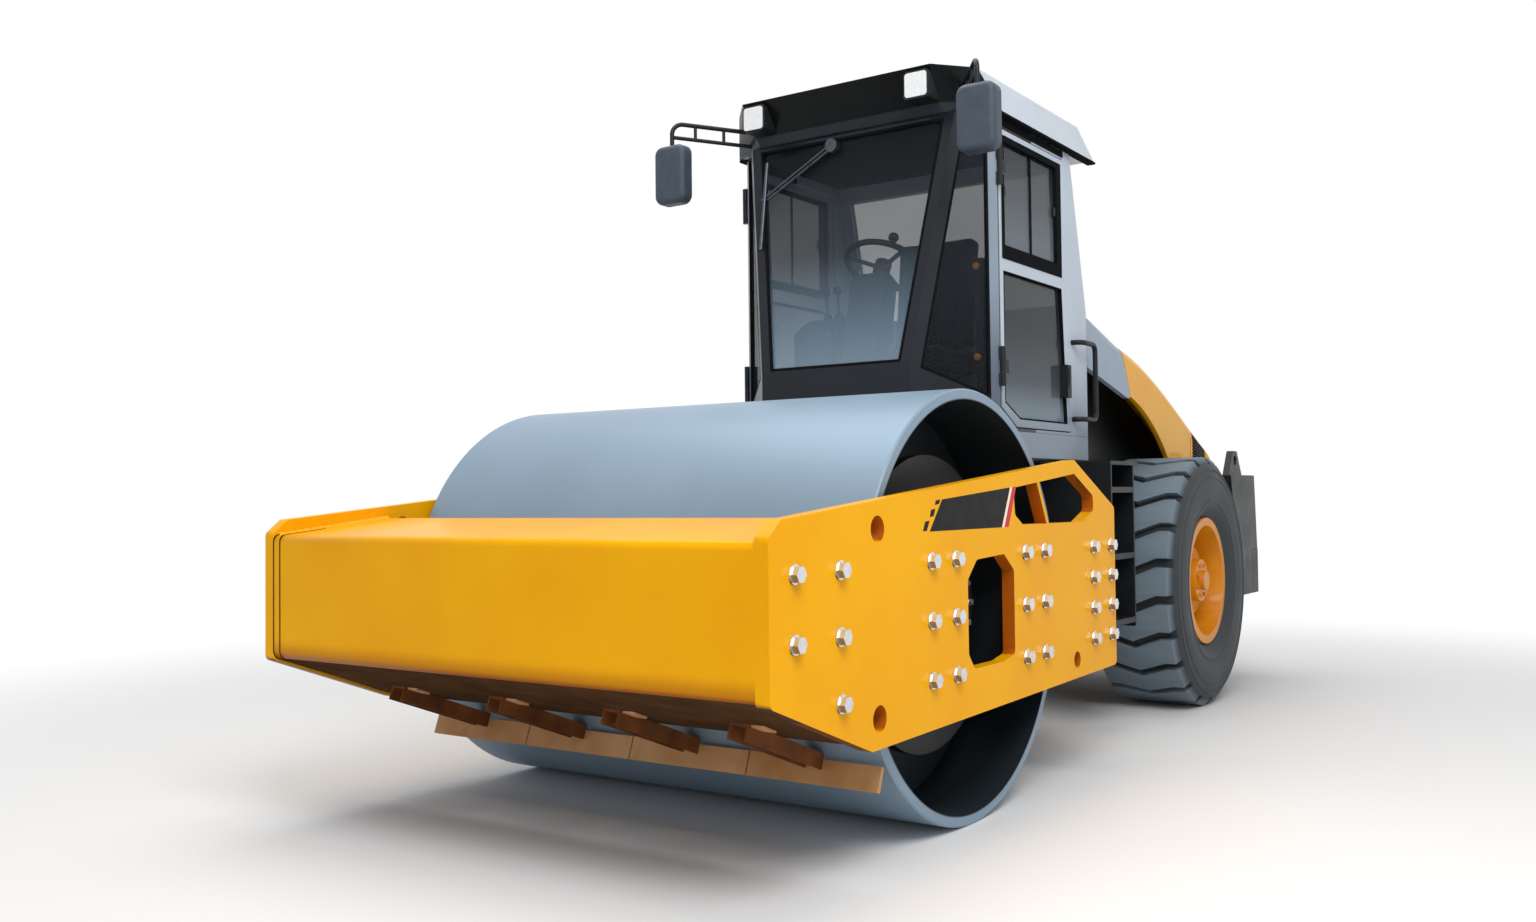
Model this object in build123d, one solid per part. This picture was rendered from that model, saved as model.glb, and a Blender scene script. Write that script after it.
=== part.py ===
"""Single-drum soil roller with an articulated, oscillating frame and a glazed cab.

Frame: +X forward, +Y the machine's left, +Z up, origin on the ground below the middle of the box.
Millimetres. Stations along X are given from the drum axle, the steering pivot, the rear axle or the cab.
"""
import os
from math import atan2, cos, hypot, radians, sin, sqrt

from build123d import *

# Clearances
RUNNING_GAP = 0.3           # radial clearance of journals and pins
SEAM = 6.0                  # open seam round doors and lids

# Drum
DRUM_RADIUS = 800.0
DRUM_WIDTH = 2130.0
DRUM_SHELL = 40.0
DRUM_CHAMFER = 6.0
DRUM_HEAD_INSET = 330.0     # recess from the drum edge to its end disc
DRUM_HEAD = 30.0
JOURNAL_RADIUS = 120.0
JOURNAL_LENGTH = 150.0

# Front frame
FRAME_INNER = 1100.0        # centre line to the inner face of a side plate
PLATE = 50.0
PLATE_CORNER = 25.0
PLATE_NOSE_LOW = 620.0
PLATE_NOSE_HIGH = 1091.0
PLATE_BEVEL_BACK = 64.0
PLATE_BEVEL_HIGH = 1142.0
PLATE_PEAK = 1348.0
PLATE_PEAK_BACK = 810.0     # drum axle to the highest corner
PLATE_TAIL_HIGH = 1147.0
PLATE_TAIL_LOW = 450.0
PLATE_CHIN = 412.0          # lowest corner, below the beam
PLATE_CHIN_AHEAD = 880.0
PLATE_OVERHANG = 5.0        # plate behind the rear crossmember
UPPER_WINDOW = [(-200, 1232), (-209, 1129), (-281, 1091), (-887, 1088), (-1015, 1133), (-1018, 1197),
                (-807, 1290)]
AXLE_WINDOW = [(200, 107), (125, 175), (-105, 185), (-192, 122), (-192, -194), (-90, -212), (154, -212),
               (200, -157)]
STAY = [(-414, 1262), (-436, 1262), (-538, 1080), (-516, 1080)]
TIE_DOWN_RADIUS = 42.5
TIE_DOWN_AHEAD = 832.0
TIE_DOWN_LEVELS = (1102.0, 508.0)
SMALL_HOLE_RADIUS = 35.0
SMALL_HOLE_BACK = 810.0
SMALL_HOLE_LEVEL = 517.0
DRUM_FRONT_GAP = 105.0      # drum to the front beam
BEAM_DEPTH = 531.0          # front beam, back to front
BEAM_NOSE_LOW = 632.0
BEAM_NOSE_HIGH = 1083.0
BEAM_BACK_LOW = 432.0
BEAM_BACK_HIGH = 1139.0
BEAM_BEND = 28.0
DRUM_REAR_GAP = 155.0       # drum to the rear crossmember
CROSSMEMBER_DEPTH = 310.0
CROSSMEMBER_LOW = 545.0
CROSSMEMBER_HIGH = 1030.0
MOUNT_PAD_NEAR = 235.0      # drum axle to the near edge of a mount pad
MOUNT_PAD_FAR = 535.0
MOUNT_PAD_HALF_HEIGHT = 250.0
MOUNT_PLATE = 45.0
MOUNT_PLATE_RADIUS = 560.0
MOTOR_RADIUS = 150.0        # drum drive on the mount's outer face
MOTOR_LENGTH = 110.0

# Scrapers under the front beam
SCRAPER_STATIONS = (-800.0, -275.0, 275.0, 800.0)
SCRAPER_CHANNEL_WIDTH = 72.0
SCRAPER_CHANNEL_HEIGHT = 55.0
SCRAPER_CHANNEL_WALL = 8.0
SCRAPER_GAP = 15.0          # blade edge to the drum
SCRAPER_BLADE = 16.0
SCRAPER_BLADE_DEPTH = 85.0
SCRAPER_BLADE_DROP = 20.0   # beam underside's line to the blade's upper edge
SCRAPER_SEGMENTS = 4
SCRAPER_FRONT_GAP = 336.0   # frame front to the front end of the channels

# Centre joint
HITCH_HEIGHT = 785.0        # oscillation axis above the ground
JOINT_LENGTH = 225.0        # steering pivot to the oscillation boss
JOINT_HALF_HEIGHT = 170.0
JOINT_HALF_WIDTH = 130.0
TRUNNION_RADIUS = 45.0
FORK_PLATE = 50.0
FORK_NOSE = 120.0
OSCILLATION_RADIUS = 140.0
OSCILLATION_BOSS_RADIUS = 215.0
OSCILLATION_BOSS_LENGTH = 110.0

# Steering cylinders
LUG_FORWARD = 60.0          # steering pivot to the rod eye, along X
LUG_SIDE = 225.0
LUG_PLATE = 30.0
EYE_GAP = 5.0
EYE_RADIUS = 45.0
EYE_HEIGHT = 50.0
ANCHOR_BACK = 640.0         # steering pivot to the barrel's rear pin
ANCHOR_SIDE = 290.0
ANCHOR_SHELF = 60.0
ANCHOR_SHELF_PLATE = 40.0
BARREL_RADIUS = 52.0
BARREL_LENGTH = 420.0
BARREL_NECK = 80.0
ROD_RADIUS = 26.0
ROD_INSIDE = 190.0
NECK_RADIUS = 22.0

# Rear frame and axle
WHEELBASE = 3200.0          # drum axle to rear axle
BEAM_INNER = 380.0
BEAM_PLATE = 60.0
BEAM_LOW = 880.0
BEAM_HIGH = 1180.0
BULKHEAD_BACK = 190.0       # steering pivot to the bulkhead's front face
BULKHEAD = 50.0
ARM_TIP = 260.0             # cab front to the front end of the cab arms
ARM_TIP_DEPTH = 60.0
AXLE_TUBE_RADIUS = 130.0
AXLE_TUBE_END = 450.0
AXLE_SEAT = 120.0           # half length of the seats under the beams
BRAKE_RADIUS = 215.0
BRAKE_END = 560.0
SPINDLE_RADIUS = 90.0
SPINDLE_END = 700.0
DIFF_RADIUS = 250.0
ENGINE_BACK = 700.0         # rear axle to the engine's rear end
ENGINE_AHEAD = 450.0
ENGINE_HIGH = 1500.0

# Wheels
TYRE_RADIUS = 705.0
TYRE_WIDTH = 520.0
TYRE_SHOULDER = 60.0        # tread down to the shoulder's lower edge
TYRE_SHOULDER_IN = 50.0     # side wall to the tread's edge
TYRE_BULGE = 12.0
TYRE_BULGE_RADIUS = 540.0
TYRE_BEAD_RADIUS = 430.0
LUGS = 22
LUG_HEIGHT = 42.0
LUG_GROOVE = 48.0           # groove between two lugs
LUG_SWEEP = 62.0            # how far a groove's middle runs ahead of its ends
LUG_KINK = 150.0            # tyre middle to where a groove turns straight across
WHEEL_CENTRE = 770.0        # centre line to the middle of the tyre
RIM_RADIUS = 335.0
RIM_FLANGE_RADIUS = 358.0
RIM_HALF_WIDTH = 217.0
RIM_WALL = 22.0
RIM_DISC = 30.0
HUB_RADIUS = 195.0
HUB_FACE = 900.0            # centre line to the hub's bolted face
HUB_CAP_RADIUS = 120.0
HUB_CAP_END = 955.0
HUB_END = 985.0
HUB_TIP_RADIUS = 55.0

# Cab
CAB_AHEAD = 831.0           # steering pivot to the foot of the windscreen
CAB_HALF_WIDTH = 700.0
CAB_FLOOR_LOW = 1380.0
CAB_FLOOR_HIGH = 1500.0
CAB_WAIST = 1809.0          # foot of the windscreen
CAB_TOP = 2950.0
CAB_WALL = 50.0
SCREEN_LEAN = 166.0         # how far the windscreen leans back
CORNER_BACK = 311.0         # windscreen foot to the door post
CORNER_SIDE = 296.0
CORNER_FOOT = 1650.0        # foot of the corner pane at the door post
CORNER_FOOT_DROP = 30.0     # foot of the corner pane below the waist, at the windscreen
HEADER = 20.0               # frame above the front panes
CAB_REAR = 1375.0           # windscreen foot to the rear wall
REAR_KNEE = 2155.0          # where the rear wall starts to lean forward
REAR_LEAN = 199.0
REAR_POST = 110.0           # cab side to the rear window
REAR_SILL = 40.0
REAR_HEADER = 90.0
GLASS = 8.0
GLASS_INSET = 10.0          # outer face of the frame to a front pane
REAR_GLASS_INSET = 20.0
PILLAR = 48.0

# Roof, lamps, mirrors, wiper and grab rails
ROOF_TOP = 3137.0
ROOF_LIP = 35.0             # cab side out to the roof's lower edge
ROOF_SHOULDER = 38.0        # cab side in to the roof's upper edge
ROOF_NOSE_LOW = 152.0       # windscreen foot back to the fascia's lower edge
ROOF_NOSE_HIGH = 16.0
ROOF_NOSE_SIDE_LOW = 195.0  # cab side in to the fascia's end
ROOF_NOSE_SIDE_HIGH = 184.0
ROOF_CORNER_LOW = 290.0     # windscreen foot back to the end of the chamfered corner
ROOF_CORNER_HIGH = 190.0
ROOF_TAIL = 60.0            # roof behind the cab's rear wall
ROOF_TAIL_LEAN = 40.0
FASCIA = 14.0
LAMP_SIZE = 110.0
LAMP_CORNER = 14.0
LAMP_SIDE = 253.0           # cab side in to a lamp's middle
LAMP_LEVEL = 3054.0
LAMP_DEPTH = 120.0
LAMP_BACK = 7.0             # windscreen foot back to a front lamp's lens
REAR_LAMP_LEVEL = 3034.0
REAR_LAMP_OUT = 45.0
REAR_LAMP_IN = 60.0
MIRROR_AHEAD = 150.0        # windscreen foot forward to a mirror
MIRROR_SIDE = 126.0         # cab side out to a mirror's middle
MIRROR_LEVEL = 2800.0
MIRROR_DEPTH = 75.0
MIRROR_WIDTH = 185.0
MIRROR_HEIGHT = 290.0
MIRROR_CORNER = 45.0
MIRROR_ROUND = 28.0
ARM_ROOT_BACK = 230.0
ARM_ROOT_SIDE = 140.0       # cab side in to the root of a mirror arm
ARM_UPPER = 3045.0
ARM_LOWER = 2975.0
ARM_RISE = 14.0
ARM_TUBE = 11.0
ARM_LOWER_TUBE = 9.5
ARM_RUNG = 8.0
ARM_RUNGS = (0.42, 0.74)
ARM_BEND = 55.0
ARM_SEAT = 15.0             # tube inside the mirror's shell
WIPER_HUB_LEVEL = 2890.0
WIPER_HUB_SIDE = -80.0
WIPER_HUB_RADIUS = 32.0
WIPER_TIP_LEVEL = 2671.0
WIPER_TIP_SIDE = -454.0
WIPER_ARM = 6.0
WIPER_ARM_PITCH = 40.0
WIPER_BLADE = 9.0
WIPER_BLADE_LOW = 2420.0
WIPER_BLADE_HIGH = 2860.0
WIPER_OFF = 16.0            # windscreen frame to the wiper's arms
RAIL_RADIUS = 13.0
RAIL_OUT = 55.0             # cab side to a grab rail
RAIL_LOW = 1585.0
RAIL_HIGH = 1975.0
RAIL_BACK = 26.0            # cab rear wall forward to a rail's upright
RAIL_LENGTH = 180.0
RAIL_BEND = 40.0

# Doors
DOOR_THICK = 40.0
DOOR_FRONT = 316.0          # windscreen foot to the door's front edge
DOOR_REAR_HIGH = 1085.0
DOOR_REAR_LOW = 1140.0
DOOR_LOW = 1515.0
DOOR_HIGH = 2895.0
DOOR_BEVEL_BACK = 165.0
DOOR_BEVEL_RISE = 88.0
DOOR_STILE = 42.0
WAIST_RAIL_LOW = 2235.0
WAIST_RAIL_HIGH = 2300.0
HINGE_OUT = 14.0            # door face to the hinge axis
HINGE_RADIUS = 12.0
HINGE_HEIGHT = 60.0
HINGE_LEAF = 55.0
HINGE_LIFT = 3.0            # bridge of a door leaf above the post
HINGE_LEVELS = (1760.0, 2680.0)
HANDLE_BACK = 75.0          # door's rear edge forward to its handle
HANDLE_WIDTH = 44.0
HANDLE_OUT = 28.0
HANDLE_LOW = 1690.0
HANDLE_HIGH = 1850.0

# Inside the cab
SEAT_BACK = 850.0           # windscreen foot to the middle of the cushion
SEAT_FOOT = 220.0
SEAT_FOOT_HALF_WIDTH = 210.0
SEAT_FOOT_PLATE = 40.0
SEAT_STEM = 170.0
SEAT_STEM_HALF_WIDTH = 160.0
SEAT_STEM_CORNER = 40.0
SEAT_HEIGHT = 330.0         # floor to the cushion's underside
CUSHION_REAR = 230.0
CUSHION_FRONT = 250.0
CUSHION_HALF_WIDTH = 250.0
CUSHION = 120.0
CUSHION_ROUND = 35.0
BACKREST = 110.0
BACKREST_WIDTH = 470.0
BACKREST_HEIGHT = 620.0
BACKREST_SET = 165.0        # cushion's middle back to the backrest
BACKREST_LEAN = 7.0
COLUMN_BACK = 200.0         # windscreen foot to the column's foot
COLUMN_HALF_WIDTH = 95.0
COLUMN_FOOT = 90.0
COLUMN_HEAD = 60.0
STEERING_BACK = 480.0       # windscreen foot to the steering wheel's middle
STEERING_HEIGHT = 850.0
STEERING_RADIUS = 185.0
STEERING_RING = 15.0
STEERING_HUB = 42.0
STEERING_TILT = 30.0
SPOKES = 3
SPOKE_RADIUS = 11.0
SHAFT_LENGTH = 170.0        # wheel down to the column's shroud
SHAFT_RADIUS = 30.0
CONSOLE_GAP = 80.0          # cushion to the console
CONSOLE_WALL_GAP = 140.0    # cab side to the console
CONSOLE_REAR = 250.0
CONSOLE_FRONT = 330.0
CONSOLE_KNEE = 180.0        # cushion's middle to where the control face falls
CONSOLE_LEVELS = (560.0, 640.0, 600.0)
CONSOLE_ROUND = 25.0

# Hood, cowl and rear end
HOOD_HALF_WIDTH = 690.0
HOOD_WALL = 30.0
HOOD_ROUND = 60.0           # long upper edges
HOOD_FRONT = 510.0          # rear axle forward to the hood hinge
HOOD_FRONT_TOP = 2030.0
HOOD_TOP_LINE = ((50.0, 1925.0), (-590.0, 1690.0))
HOOD_REAR = 1180.0          # rear axle back to the hood's rear edge
HOOD_REAR_TOP = 1495.0
HOOD_REAR_SLOPE = 90.0
HOOD_FOOT = 1330.0
HOOD_ARCH_FRONT = 145.0     # hinge back to the arch's front corner
HOOD_ARCH_HIGH = 1750.0
HOOD_ARCH_MIDDLE = (-37.0, 1590.0)
HOOD_ARCH_END = (-283.0, 1406.0)
HOOD_ARCH_FOOT = 660.0
HOOD_HINGE_UP = 12.0        # hood top to its hinge axis
HOOD_HINGE_STATION = 380.0
HOOD_KNUCKLE = 10.0
HOOD_LEAF = 50.0
HOOD_LEAF_TOE = 14.0        # leaf's lower corner, back from the hinge axis
VENT = [(-740, 1590), (-740, 1420), (-1040, 1400), (-1040, 1480)]
VENT_PLATE = 10.0
VENT_SLAT = 8.0
VENT_SLATS = 7
CAB_GAP = 26.0              # cab rear wall to the cowl
COWL_FRONT_TOP = 2165.0
COWL_FRONT_LOW = 1870.0
COWL_BACK_LOW = 1740.0
COWL_BACK_STEP = 45.0
INNER_WALL_PLATE = 25.0
WEIGHT_FRONT = 1120.0       # rear axle back to the counterweight's front face
WEIGHT_DEPTH = 180.0
WEIGHT_HALF_WIDTH = 950.0
WEIGHT_CORNER = 60.0
WEIGHT_LOW = 560.0
WEIGHT_STEP = 840.0
WEIGHT_HIGH = 1315.0
TOWER_INNER = 640.0
TOWER_TOP_FRONT = 662.0     # rear axle back to the tower's upper front corner
TOWER_MIDDLE_FRONT = 794.0
TOWER_MIDDLE = 680.0
TOWER_LOW_FRONT = 840.0
TOWER_TOP_BACK = 1194.0
LIFTING_PLATE = 40.0
LIFTING_INSET = 60.0        # tower's outer face to the lifting plate
LIFTING_BACK = 980.0
LIFTING_FOOT = 150.0
LIFTING_HEAD = 45.0
LIFTING_TOP = 1470.0
LIFTING_EYE_LEVEL = 1410.0
LIFTING_EYE_RADIUS = 30.0
GRILLE_DEPTH = 60.0
GRILLE_BORDER = 50.0
GRILLE_SLATS = 8
GRILLE_SLAT = 10.0
GRILLE_SLAT_DROP = 18.0
GRILLE_POST = 30.0
TAIL_LAMP_SIDE = 800.0
TAIL_LAMP_LOW = 1180.0
TAIL_LAMP_HIGH = 1270.0
TAIL_LAMP_WIDTH = 120.0
TAIL_LAMP_OUT = 40.0
TAIL_LAMP_CORNER = 12.0

# Steps
STEP_TYRE_GAP = 195.0       # tyre to the deck's rear edge
DECK_TAIL = 60.0
STEP_LENGTH = 335.0
STEP_OUTER = 905.0
STEP_INNER = 640.0
STEP_LOW = 525.0
STEP_LOW_DEPTH = 150.0
STEP_KNEE = 920.0
STEP_LEVELS = (575.0, 905.0, 1240.0)
STEP_PLATE = 16.0
TREAD = 30.0
DECK_HIGH = 1370.0
DECK_PLATE = 20.0
DECK_BRACE = 170.0

FRONT_REACH = DRUM_RADIUS + DRUM_FRONT_GAP + BEAM_DEPTH
CROSSMEMBER_FRONT = DRUM_RADIUS + DRUM_REAR_GAP
CROSSMEMBER_BACK = CROSSMEMBER_FRONT + CROSSMEMBER_DEPTH
PIVOT_BACK = CROSSMEMBER_BACK + OSCILLATION_BOSS_LENGTH + JOINT_LENGTH
REAR_REACH = WEIGHT_FRONT + WEIGHT_DEPTH
LENGTH = FRONT_REACH + WHEELBASE + REAR_REACH
DRUM_X = LENGTH / 2 - FRONT_REACH
PIVOT_X = DRUM_X - PIVOT_BACK
AXLE_X = DRUM_X - WHEELBASE
CAB_X = PIVOT_X + CAB_AHEAD
COWL_X = CAB_X - CAB_REAR - CAB_GAP
SEAT_X = CAB_X - SEAT_BACK
FRAME_OUTER = FRAME_INNER + PLATE
BEAM_OUTER = BEAM_INNER + BEAM_PLATE

os.makedirs("parts", exist_ok=True)


def side_slab(outline, y_low, y_high):
    """Extrude an outline of (x, z) points from y_low to y_high."""
    plane = Plane(origin=(0, y_high, 0), x_dir=(1, 0, 0), z_dir=(0, -1, 0))
    return extrude(plane * make_face(Polyline(*outline, close=True)), y_high - y_low)


def plan_slab(outline, z_low, z_high):
    """Extrude an outline of (x, y) points from z_low to z_high."""
    return extrude(Plane.XY.offset(z_low) * make_face(Polyline(*outline, close=True)), z_high - z_low)


def front_slab(outline, x_low, x_high):
    """Extrude an outline of (y, z) points from x_low to x_high."""
    plane = Plane(origin=(x_low, 0, 0), x_dir=(0, 1, 0), z_dir=(1, 0, 0))
    return extrude(plane * make_face(Polyline(*outline, close=True)), x_high - x_low)


def block(x_low, x_high, y_low, y_high, z_low, z_high):
    """A box between two corners."""
    size = (x_high - x_low, y_high - y_low, z_high - z_low)
    centre = ((x_low + x_high) / 2, (y_low + y_high) / 2, (z_low + z_high) / 2)
    return Pos(*centre) * Box(*size)


def rod(start, end, radius):
    """A round bar between two points."""
    axis = Vector(*end) - Vector(*start)
    place = Plane(origin=start, z_dir=axis)
    return place * Cylinder(radius, axis.length, align=(Align.CENTER, Align.CENTER, Align.MIN))


def bent_tube(points, bend, radius):
    """A round bar bent along points with one bend radius."""
    path = FilletPolyline(*points, radius=bend)
    section = Plane(origin=path @ 0, z_dir=path % 0) * Circle(radius)
    return sweep(section, path=path)


def turned(profile, x, z):
    """Revolve an outline of (radius, y) points about the cross axis through (x, z)."""
    face = make_face(Polyline(*[(radius, y, 0) for radius, y in profile], close=True))
    return Pos(x, 0, z) * revolve(face, Axis.Y)


def right_of(part):
    """The machine's right-hand twin of a left-hand part."""
    return mirror(part, about=Plane.XZ)


def save(name, *pieces):
    """Write the solids of one node."""
    solids = [solid for piece in pieces for solid in piece.solids()]
    export_step(Compound(solids) if len(solids) > 1 else solids[0], f"parts/{name}.step")


def plate_outline():
    """Side plate, seen from the left, with its front and rear bevels."""
    front = DRUM_X + FRONT_REACH
    back = DRUM_X - CROSSMEMBER_BACK - PLATE_OVERHANG
    return [
        (front, PLATE_NOSE_LOW), (front, PLATE_NOSE_HIGH), (front - PLATE_BEVEL_BACK, PLATE_BEVEL_HIGH),
        (DRUM_X - PLATE_PEAK_BACK, PLATE_PEAK), (back, PLATE_TAIL_HIGH), (back, PLATE_TAIL_LOW),
        (DRUM_X + PLATE_CHIN_AHEAD, PLATE_CHIN),
    ]


def side_plate():
    """Left side plate with its two windows, the stay in the upper one, tie-down bores and rear hole."""
    plate = side_slab(plate_outline(), FRAME_INNER, FRAME_OUTER)
    plate = fillet(plate.edges().filter_by(Axis.Y), PLATE_CORNER)
    upper = [(DRUM_X + x, z) for x, z in UPPER_WINDOW]
    axle = [(DRUM_X + x, DRUM_RADIUS + z) for x, z in AXLE_WINDOW]
    for window in (upper, axle):
        cut = side_slab(window, FRAME_INNER, FRAME_OUTER)
        plate -= fillet(cut.edges().filter_by(Axis.Y), PLATE_CORNER)
    plate += side_slab([(DRUM_X + x, z) for x, z in STAY], FRAME_INNER, FRAME_OUTER)
    holes = [(DRUM_X + TIE_DOWN_AHEAD, level, TIE_DOWN_RADIUS) for level in TIE_DOWN_LEVELS]
    holes.append((DRUM_X - SMALL_HOLE_BACK, SMALL_HOLE_LEVEL, SMALL_HOLE_RADIUS))
    for x, z, radius in holes:
        plate -= rod((x, FRAME_INNER, z), (x, FRAME_OUTER, z), radius)
    return plate


def beam_underside(x):
    """Height of the front beam's slanted underside at a station from the drum axle."""
    slope = (BEAM_NOSE_LOW - BEAM_BACK_LOW) / BEAM_DEPTH
    return BEAM_NOSE_LOW - slope * (FRONT_REACH - x)


def front_beam():
    """Closed box beam between the side plates, bent at its front edges."""
    front = DRUM_X + FRONT_REACH
    back = front - BEAM_DEPTH
    outline = [(front, BEAM_NOSE_LOW), (front, BEAM_NOSE_HIGH), (back, BEAM_BACK_HIGH), (back, BEAM_BACK_LOW)]
    beam = side_slab(outline, -FRAME_INNER, FRAME_INNER)
    front_edges = beam.edges().filter_by(Axis.Y).group_by(Axis.X)[-1]
    return fillet(front_edges, BEAM_BEND)


def rear_crossmember():
    """Box beam behind the drum, with the boss that carries the oscillation journal."""
    front = DRUM_X - CROSSMEMBER_FRONT
    back = DRUM_X - CROSSMEMBER_BACK
    beam = block(back, front, -FRAME_INNER, FRAME_INNER, CROSSMEMBER_LOW, CROSSMEMBER_HIGH)
    beam = fillet(beam.edges().filter_by(Axis.Y), BEAM_BEND)
    boss_back = back - OSCILLATION_BOSS_LENGTH
    beam += rod((boss_back, 0, HITCH_HEIGHT), (back, 0, HITCH_HEIGHT), OSCILLATION_BOSS_RADIUS)
    bore = rod((boss_back, 0, HITCH_HEIGHT), (front, 0, HITCH_HEIGHT), OSCILLATION_RADIUS + RUNNING_GAP)
    return beam - bore


def drum():
    """Smooth drum: shell, recessed end discs and their journals."""
    half = DRUM_WIDTH / 2
    head = half - DRUM_HEAD_INSET
    bore = DRUM_RADIUS - DRUM_SHELL
    rim = DRUM_RADIUS - DRUM_CHAMFER
    right_side = [
        (0, -head - JOURNAL_LENGTH), (JOURNAL_RADIUS, -head - JOURNAL_LENGTH), (JOURNAL_RADIUS, -head),
        (bore, -head), (bore, -half), (rim, -half), (DRUM_RADIUS, -half + DRUM_CHAMFER),
    ]
    left_side = [(radius, -y) for radius, y in reversed(right_side)]
    outer = turned(right_side + left_side, DRUM_X, DRUM_RADIUS)
    inside = head - DRUM_HEAD
    hollow = turned([(0, -inside), (bore, -inside), (bore, inside), (0, inside)], DRUM_X, DRUM_RADIUS)
    return outer - hollow


def drum_mount():
    """Left drum carrier: two pads on the side plate, a disc in the drum's recess and the drive motor."""
    disc_out = DRUM_WIDTH / 2 - DRUM_HEAD_INSET + JOURNAL_LENGTH
    disc_in = disc_out - MOUNT_PLATE
    disc = rod((DRUM_X, disc_in, DRUM_RADIUS), (DRUM_X, disc_out, DRUM_RADIUS), MOUNT_PLATE_RADIUS)
    for side in (-1, 1):
        near, far = sorted((DRUM_X + side * MOUNT_PAD_NEAR, DRUM_X + side * MOUNT_PAD_FAR))
        low = DRUM_RADIUS - MOUNT_PAD_HALF_HEIGHT
        high = DRUM_RADIUS + MOUNT_PAD_HALF_HEIGHT
        disc += block(near, far, disc_in, FRAME_INNER, low, high)
    journal = JOURNAL_RADIUS + RUNNING_GAP
    disc -= rod((DRUM_X, disc_in, DRUM_RADIUS), (DRUM_X, disc_out, DRUM_RADIUS), journal)
    cap_in = disc_out + RUNNING_GAP
    cap = rod((DRUM_X, disc_out, DRUM_RADIUS), (DRUM_X, disc_out + MOTOR_LENGTH, DRUM_RADIUS), MOTOR_RADIUS)
    cap -= rod((DRUM_X, disc_out, DRUM_RADIUS), (DRUM_X, cap_in, DRUM_RADIUS), journal)
    return disc + cap


def scraper_slope():
    """Unit vectors (x, z) along the beam's underside and square to it."""
    angle = atan2(BEAM_NOSE_LOW - BEAM_BACK_LOW, BEAM_DEPTH)
    return Vector(cos(angle), 0, sin(angle)), Vector(-sin(angle), 0, cos(angle))


def scraper_line(below, gap):
    """Point on a line parallel to the beam's underside, where it comes within a gap of the drum."""
    along, up = scraper_slope()
    axle = Vector(DRUM_X, 0, DRUM_RADIUS)
    front = Vector(DRUM_X + FRONT_REACH, 0, BEAM_NOSE_LOW) - up * below
    offset = (front - axle).dot(up)
    reach = sqrt((DRUM_RADIUS + gap) ** 2 - offset ** 2)
    return axle + up * offset + along * reach


def scraper_blade():
    """Upright blade segments across the drum's lower front, their upper edges close to the drum."""
    along, up = scraper_slope()
    top = scraper_line(SCRAPER_BLADE_DROP, SCRAPER_GAP)
    face = top + along * SCRAPER_BLADE
    section = [top, face, face - up * SCRAPER_BLADE_DEPTH, top - up * SCRAPER_BLADE_DEPTH]
    outline = [(point.X, point.Z) for point in section]
    span = DRUM_WIDTH / SCRAPER_SEGMENTS
    pieces = []
    for index in range(SCRAPER_SEGMENTS):
        start = -DRUM_WIDTH / 2 + index * span + SEAM / 2
        pieces.append(side_slab(outline, start, start + span - SEAM))
    return pieces


def scraper_brackets():
    """Four inverted channels under the front beam that end on the blades' faces."""
    along, up = scraper_slope()
    back = scraper_line(SCRAPER_BLADE_DROP, SCRAPER_GAP) + along * SCRAPER_BLADE + up * SCRAPER_BLADE_DROP
    front_x = FRONT_REACH - SCRAPER_FRONT_GAP
    front = Vector(DRUM_X + front_x, 0, beam_underside(front_x))
    length = (front - back).length
    wall = SCRAPER_CHANNEL_WALL
    height = SCRAPER_CHANNEL_HEIGHT
    channel = Pos(length / 2, 0, -height / 2) * Box(length, SCRAPER_CHANNEL_WIDTH, height)
    hollow = Pos(length / 2, 0, -height / 2 - wall) * Box(length, SCRAPER_CHANNEL_WIDTH - 2 * wall, height)
    channels = []
    for station in SCRAPER_STATIONS:
        place = Plane(origin=(back.X, station, back.Z), x_dir=tuple(along), z_dir=tuple(up))
        channels.append(place * (channel - hollow))
    return channels


def centre_joint():
    """Cast joint: block between the fork plates, trunnions, oscillation journal and cylinder lugs."""
    low = HITCH_HEIGHT - JOINT_HALF_HEIGHT
    high = HITCH_HEIGHT + JOINT_HALF_HEIGHT
    shoulder = PIVOT_X + JOINT_LENGTH - RUNNING_GAP
    body = block(PIVOT_X, shoulder, -JOINT_HALF_WIDTH, JOINT_HALF_WIDTH, low, high)
    body += rod((PIVOT_X, 0, low), (PIVOT_X, 0, high), JOINT_HALF_WIDTH)
    journal_end = DRUM_X - CROSSMEMBER_FRONT - SEAM
    body += rod((shoulder, 0, HITCH_HEIGHT), (journal_end, 0, HITCH_HEIGHT), OSCILLATION_RADIUS)
    trunnion = FORK_PLATE + SEAM
    body += rod((PIVOT_X, 0, low - trunnion), (PIVOT_X, 0, high + trunnion), TRUNNION_RADIUS)
    lug_high = HITCH_HEIGHT - EYE_HEIGHT / 2 - EYE_GAP
    lug_x = PIVOT_X + LUG_FORWARD
    lug_side = LUG_SIDE + EYE_RADIUS
    body += block(lug_x - EYE_RADIUS, lug_x + EYE_RADIUS, -lug_side, lug_side, lug_high - LUG_PLATE, lug_high)
    return body


def cylinder_places():
    """Rear pin, rod eye and unit vector of the left steering cylinder."""
    anchor = Vector(PIVOT_X - ANCHOR_BACK, ANCHOR_SIDE, HITCH_HEIGHT)
    eye = Vector(PIVOT_X + LUG_FORWARD, LUG_SIDE, HITCH_HEIGHT)
    return anchor, eye, (eye - anchor).normalized()


def eye_ring(centre):
    """Upright round eye with its pin, at a cylinder's end."""
    low = (centre.X, centre.Y, centre.Z - EYE_HEIGHT / 2)
    high = (centre.X, centre.Y, centre.Z + EYE_HEIGHT / 2)
    return rod(low, high, EYE_RADIUS)


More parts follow.
